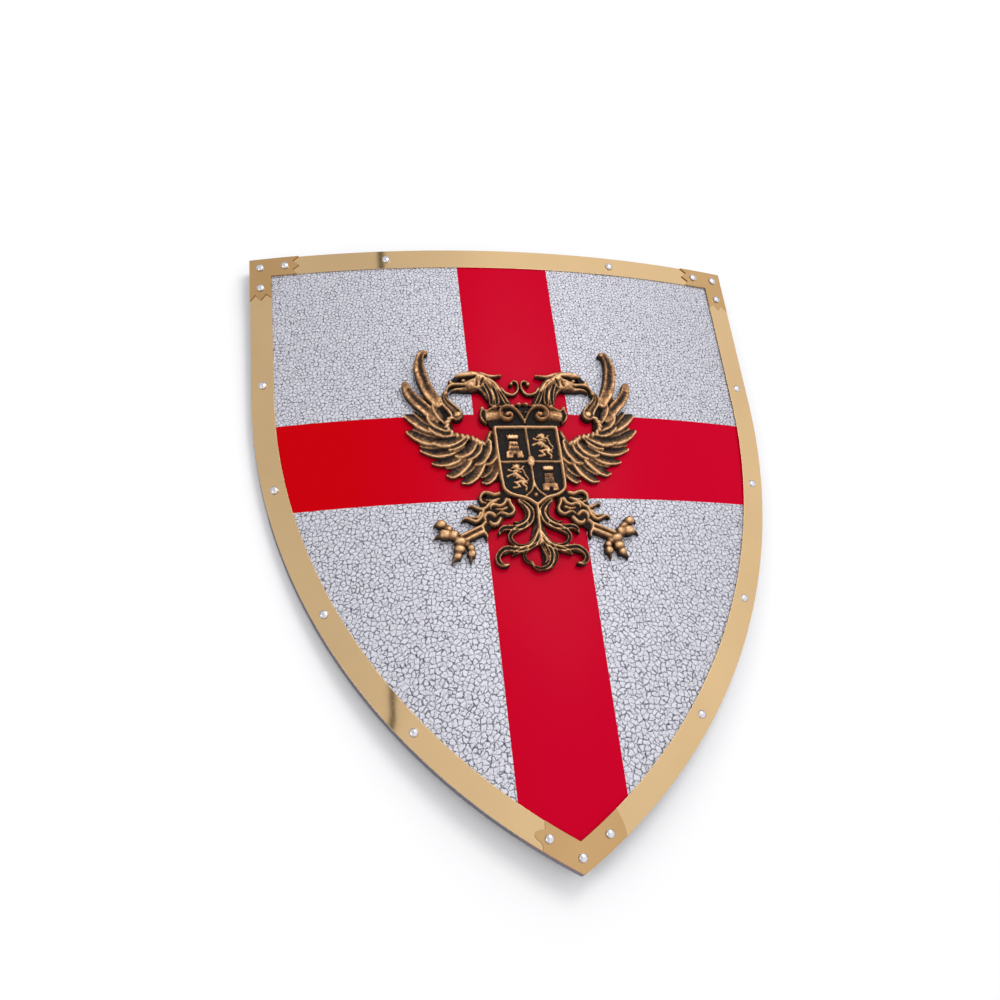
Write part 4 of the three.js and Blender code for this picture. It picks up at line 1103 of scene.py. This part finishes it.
# %% [markdown]
# ## Weathering the relief
# A casting has no knife edges, so the heights are softened a little and roughened like the sand
# or wax they came from. What stands above its surroundings was rubbed bright, and what lies below
# kept its patina. The surroundings are the same heights with a broad blur, and the difference
# from them is added to the rubbing that the strokes left.


# %% Blur and grain
def blur(values, sigma_mm):
    reach = int(3 * sigma_mm / STEP) + 1
    kernel = np.exp(-((np.arange(-reach, reach + 1) * STEP / sigma_mm) ** 2) / 2)
    kernel /= kernel.sum()
    for axis in (0, 1):
        values = np.apply_along_axis(np.convolve, axis, values, kernel, mode="same")
    return values


def casting_grain(seed, sigma_mm):
    rough = blur(np.random.default_rng(seed).standard_normal(board_u.shape), sigma_mm)
    return rough / rough.std()


# %% Softening and rubbing
SOFTENED = 0.42
AROUND = 2.4
metal = height > 0
cover = np.maximum(blur(metal.astype(float), SOFTENED), 1e-3)
soft = np.where(metal, blur(np.where(metal, height, 0), SOFTENED) / cover, 0)
soft = np.where(metal, soft + 0.1 * casting_grain(1, 0.7) + 0.07 * casting_grain(2, 1.6), 0)
surroundings = blur(soft, AROUND) / np.maximum(blur(metal.astype(float), AROUND), 0.3)
standing = np.clip((soft - surroundings + 0.3) / 1.5, 0, 1)
rubbing = 0.66 * rub + 0.42 * standing - 0.1 + 0.05 * casting_grain(3, 0.8)
rubbing = np.where(metal, np.clip(blur(rubbing, 0.3), 0, 1), 0)
print("highest point:", round(float(soft.max()), 2), "mm")

# %% [markdown]
# ## From heights to a casting
# The grid takes its heights, everything bare is deleted and the stepped border is smoothed.
# An extrusion of the whole relief down to the sheet gives it side walls and a back. The flat
# back needs few faces, so a Decimate modifier is applied that takes them where nothing bends.

# %% The relief's mesh
rows, columns = board_u.shape
bm = bmesh.new()
bmesh.ops.create_grid(bm, x_segments=columns - 1, y_segments=rows - 1, size=1)
bare = []
for vert in bm.verts:
    column = round((vert.co.x + 1) / 2 * (columns - 1))
    row = round((vert.co.y + 1) / 2 * (rows - 1))
    vert.co = (BOARD_U[column], BOARD_V[row], soft[row, column])
    if not metal[row, column]:
        bare.append(vert)
bmesh.ops.delete(bm, geom=bare, context="VERTS")
loose = [vert for vert in bm.verts if not vert.link_faces]
bmesh.ops.delete(bm, geom=loose, context="VERTS")
for _ in range(3):
    rim = [vert for vert in bm.verts if vert.is_boundary]
    bmesh.ops.smooth_vert(bm, verts=rim, factor=0.5, use_axis_x=True, use_axis_y=True, use_axis_z=False)
tops = bm.faces[:]
body = bmesh.ops.extrude_face_region(bm, geom=tops, use_keep_orig=True)
for item in body["geom"]:
    if isinstance(item, bmesh.types.BMVert):
        item.co.z = GAP
bmesh.ops.recalc_face_normals(bm, faces=bm.faces)
print("relief:", len(bm.faces), "faces before thinning")

# %% Thinning
# The relief is thinned to about 190,000 triangles. A piece stays under 200,000 triangles, so
# that its mesh is kept whole when it is written out.
TRIANGLE_BUDGET = 190000
mesh = bpy.data.meshes.new("eagle_blank")
bm.to_mesh(mesh)
triangles = sum(len(face.verts) - 2 for face in bm.faces)
bm.free()
blank = bpy.data.objects.new("eagle_blank", mesh)
bpy.context.scene.collection.objects.link(blank)
thinning = blank.modifiers.new("thinning", "DECIMATE")
thinning.ratio = min(1, TRIANGLE_BUDGET / triangles)
bpy.context.view_layer.update()
thinned = bpy.data.meshes.new_from_object(blank.evaluated_get(bpy.context.evaluated_depsgraph_get()))
bpy.data.objects.remove(blank)
print("relief:", triangles, "triangles, thinned to", TRIANGLE_BUDGET)

# %% Patina and bending
# Each point finds its place on the board again. Side walls lie low and keep their patina.
drawn = np.zeros(len(thinned.vertices) * 3)
thinned.vertices.foreach_get("co", drawn)
drawn = drawn.reshape(-1, 3)
column = np.clip(np.rint((drawn[:, 0] - BOARD_U[0]) / STEP).astype(int), 0, columns - 1)
row = np.clip(np.rint((drawn[:, 1] - BOARD_V[0]) / STEP).astype(int), 0, rows - 1)
depth = np.clip(drawn[:, 2] / np.maximum(soft[row, column], 1), 0, 1)
patina = thinned.attributes.new("rubbed", "FLOAT", "POINT")
patina.data.foreach_set("value", (rubbing[row, column] * depth**2).astype(np.float32))
thinned.vertices.foreach_set("co", place(drawn).ravel())
thinned.update()
bm = bmesh.new()
bm.from_mesh(thinned)
eagle = finish_piece("cast_eagle", bm, bronze, ["eagle_emblem"], sharp=60)
print("eagle:", len(eagle.data.polygons), "faces")

# %% [markdown]
# ## Studio
# The photo is a plain product shot: white ground, big soft lamps, and a camera that looks down
# at the lying shield from below its tip and a little to its left. The room is two broad white
# ceilings of light that meet in a narrow dark gap, the right one brighter, over walls that grow
# darker towards the floor. Brass mirrors them, and the gap is the short dark bar on the top strip
# and on the left one. The world draws the room, so nothing of it stands in the camera's view.

# %% Floor and view
FLOOR_HALF = 20
studio_white, tree = new_material("studio_paper")
place_on_it = add_node(tree, "TexCoord").outputs["Object"]
mottle = add_node(tree, "TexNoise", {"Vector": place_on_it, "Scale": 3.0, "Detail": 2.0})
paper = add_node(tree, "Mix", {0: mottle, 6: linear("#f8f8f8"), 7: linear("#fcfcfc")}, data_type="RGBA")
finish = {"Base Color": paper.outputs[2], "Roughness": 0.9, "Specular IOR Level": 0.1}
matt = add_node(tree, "BsdfPrincipled", finish)
add_node(tree, "OutputMaterial", {"Surface": matt})
bm = bmesh.new()
bmesh.ops.create_grid(bm, x_segments=1, y_segments=1, size=FLOOR_HALF)
floor_mesh = bpy.data.meshes.new("studio_floor")
bm.to_mesh(floor_mesh)
bm.free()
floor = bpy.data.objects.new("studio_floor", floor_mesh)
floor.data.materials.append(studio_white)
bpy.context.scene.collection.objects.link(floor)
bpy.context.scene.view_settings.view_transform = "Standard"

# %% The room of light
# The gap lies in the plane through the shield that is square to this direction.
GAP_NORMAL = Vector((0.9797, -0.1135, 0.1652))
world = bpy.data.worlds.new("studio")
bpy.context.scene.world = world
world.use_nodes = True
tree = world.node_tree
direction = add_node(tree, "TexCoord").outputs["Generated"]
upward = add_node(tree, "SeparateXYZ", {0: direction}).outputs["Z"]
along_normal = {0: direction, 1: GAP_NORMAL}
sideways = add_node(tree, "VectorMath", along_normal, operation="DOT_PRODUCT").outputs["Value"]
left_to_right = {0: sideways, 1: -0.15, 2: 0.35, 3: 0.8, 4: 1.03}
ceilings = add_node(tree, "MapRange", left_to_right, interpolation_type="SMOOTHSTEP")
from_gap = add_node(tree, "Math", {0: sideways}, operation="ABSOLUTE")
gap = add_node(tree, "MapRange", {0: from_gap, 1: 0.004, 2: 0.009, 3: 0.9, 4: 0.0})
overhead = add_node(tree, "MapRange", {0: upward, 1: 0.5, 2: 0.6})
dark = add_node(tree, "Math", {0: gap, 1: overhead}, operation="MULTIPLY")
lit = add_node(tree, "Math", {0: 1.0, 1: dark}, operation="SUBTRACT")
walls = add_node(tree, "MapRange", {0: upward, 1: 0.1, 2: 0.42, 3: 0.3, 4: 1.0})
clouds = add_node(tree, "TexNoise", {"Vector": direction, "Scale": 4.0, "Detail": 2.0})
uneven = add_node(tree, "MapRange", {0: clouds, 1: 0.3, 2: 0.7, 3: 0.93, 4: 1.07})
ceiling = add_node(tree, "Math", {0: ceilings, 1: walls}, operation="MULTIPLY")
light = add_node(tree, "Math", {0: ceiling, 1: uneven}, operation="MULTIPLY")
strength = add_node(tree, "Math", {0: light, 1: lit}, operation="MULTIPLY")
background = tree.nodes["Background"]
background.inputs["Color"].default_value = linear("#fdfdff")
tree.links.new(strength.outputs[0], background.inputs["Strength"])
print("room of light:", len(tree.nodes), "nodes")


# %% Lamps: a soft key from above the top edge and a weak one beside the camera
def softbox(name, place_at, size, watts):
    lamp = bpy.data.lights.new(name, "AREA")
    lamp.shape = "SQUARE"
    lamp.size = size
    lamp.energy = watts
    lamp_object = bpy.data.objects.new(name, lamp)
    lamp_object.location = place_at
    lamp_object.rotation_euler = (-Vector(place_at)).to_track_quat("-Z", "Y").to_euler()
    bpy.context.scene.collection.objects.link(lamp_object)


softbox("key", (0.5, 0.8, 1.75), 0.8, 10)
softbox("fill", (-1.6, -0.4, 1.2), 0.6, 3)

# %% Camera
# Its place and turn come from the perspective of the shield's outline and cross in the photo.
FOCAL_PIXELS = 1075.05
PICTURE_PIXELS = 1000
SENSOR = 36
camera_right = Vector((0.9762323, -0.1094121, 0.1870815))
camera_up = -Vector((-0.0163475, -0.8979290, -0.4398366))
camera_back = -Vector((0.2161094, 0.4263244, -0.8783759))
camera_spot = Vector((-241.8, -697.8, 855.8))
turn = Matrix.Rotation(LYING_TILT, 3, "X")
lens = bpy.data.cameras.new("camera")
lens.sensor_width = SENSOR
lens.lens = SENSOR * FOCAL_PIXELS / PICTURE_PIXELS
camera = bpy.data.objects.new("camera", lens)
axes = Matrix([turn @ camera_right, turn @ camera_up, turn @ camera_back]).transposed()
camera.matrix_world = Matrix.Translation((turn @ camera_spot + LYING_PLACE) * MM) @ axes.to_4x4()
bpy.context.scene.collection.objects.link(camera)
bpy.context.scene.camera = camera
print("lens:", round(lens.lens, 1), "mm on a sensor", SENSOR, "mm broad")
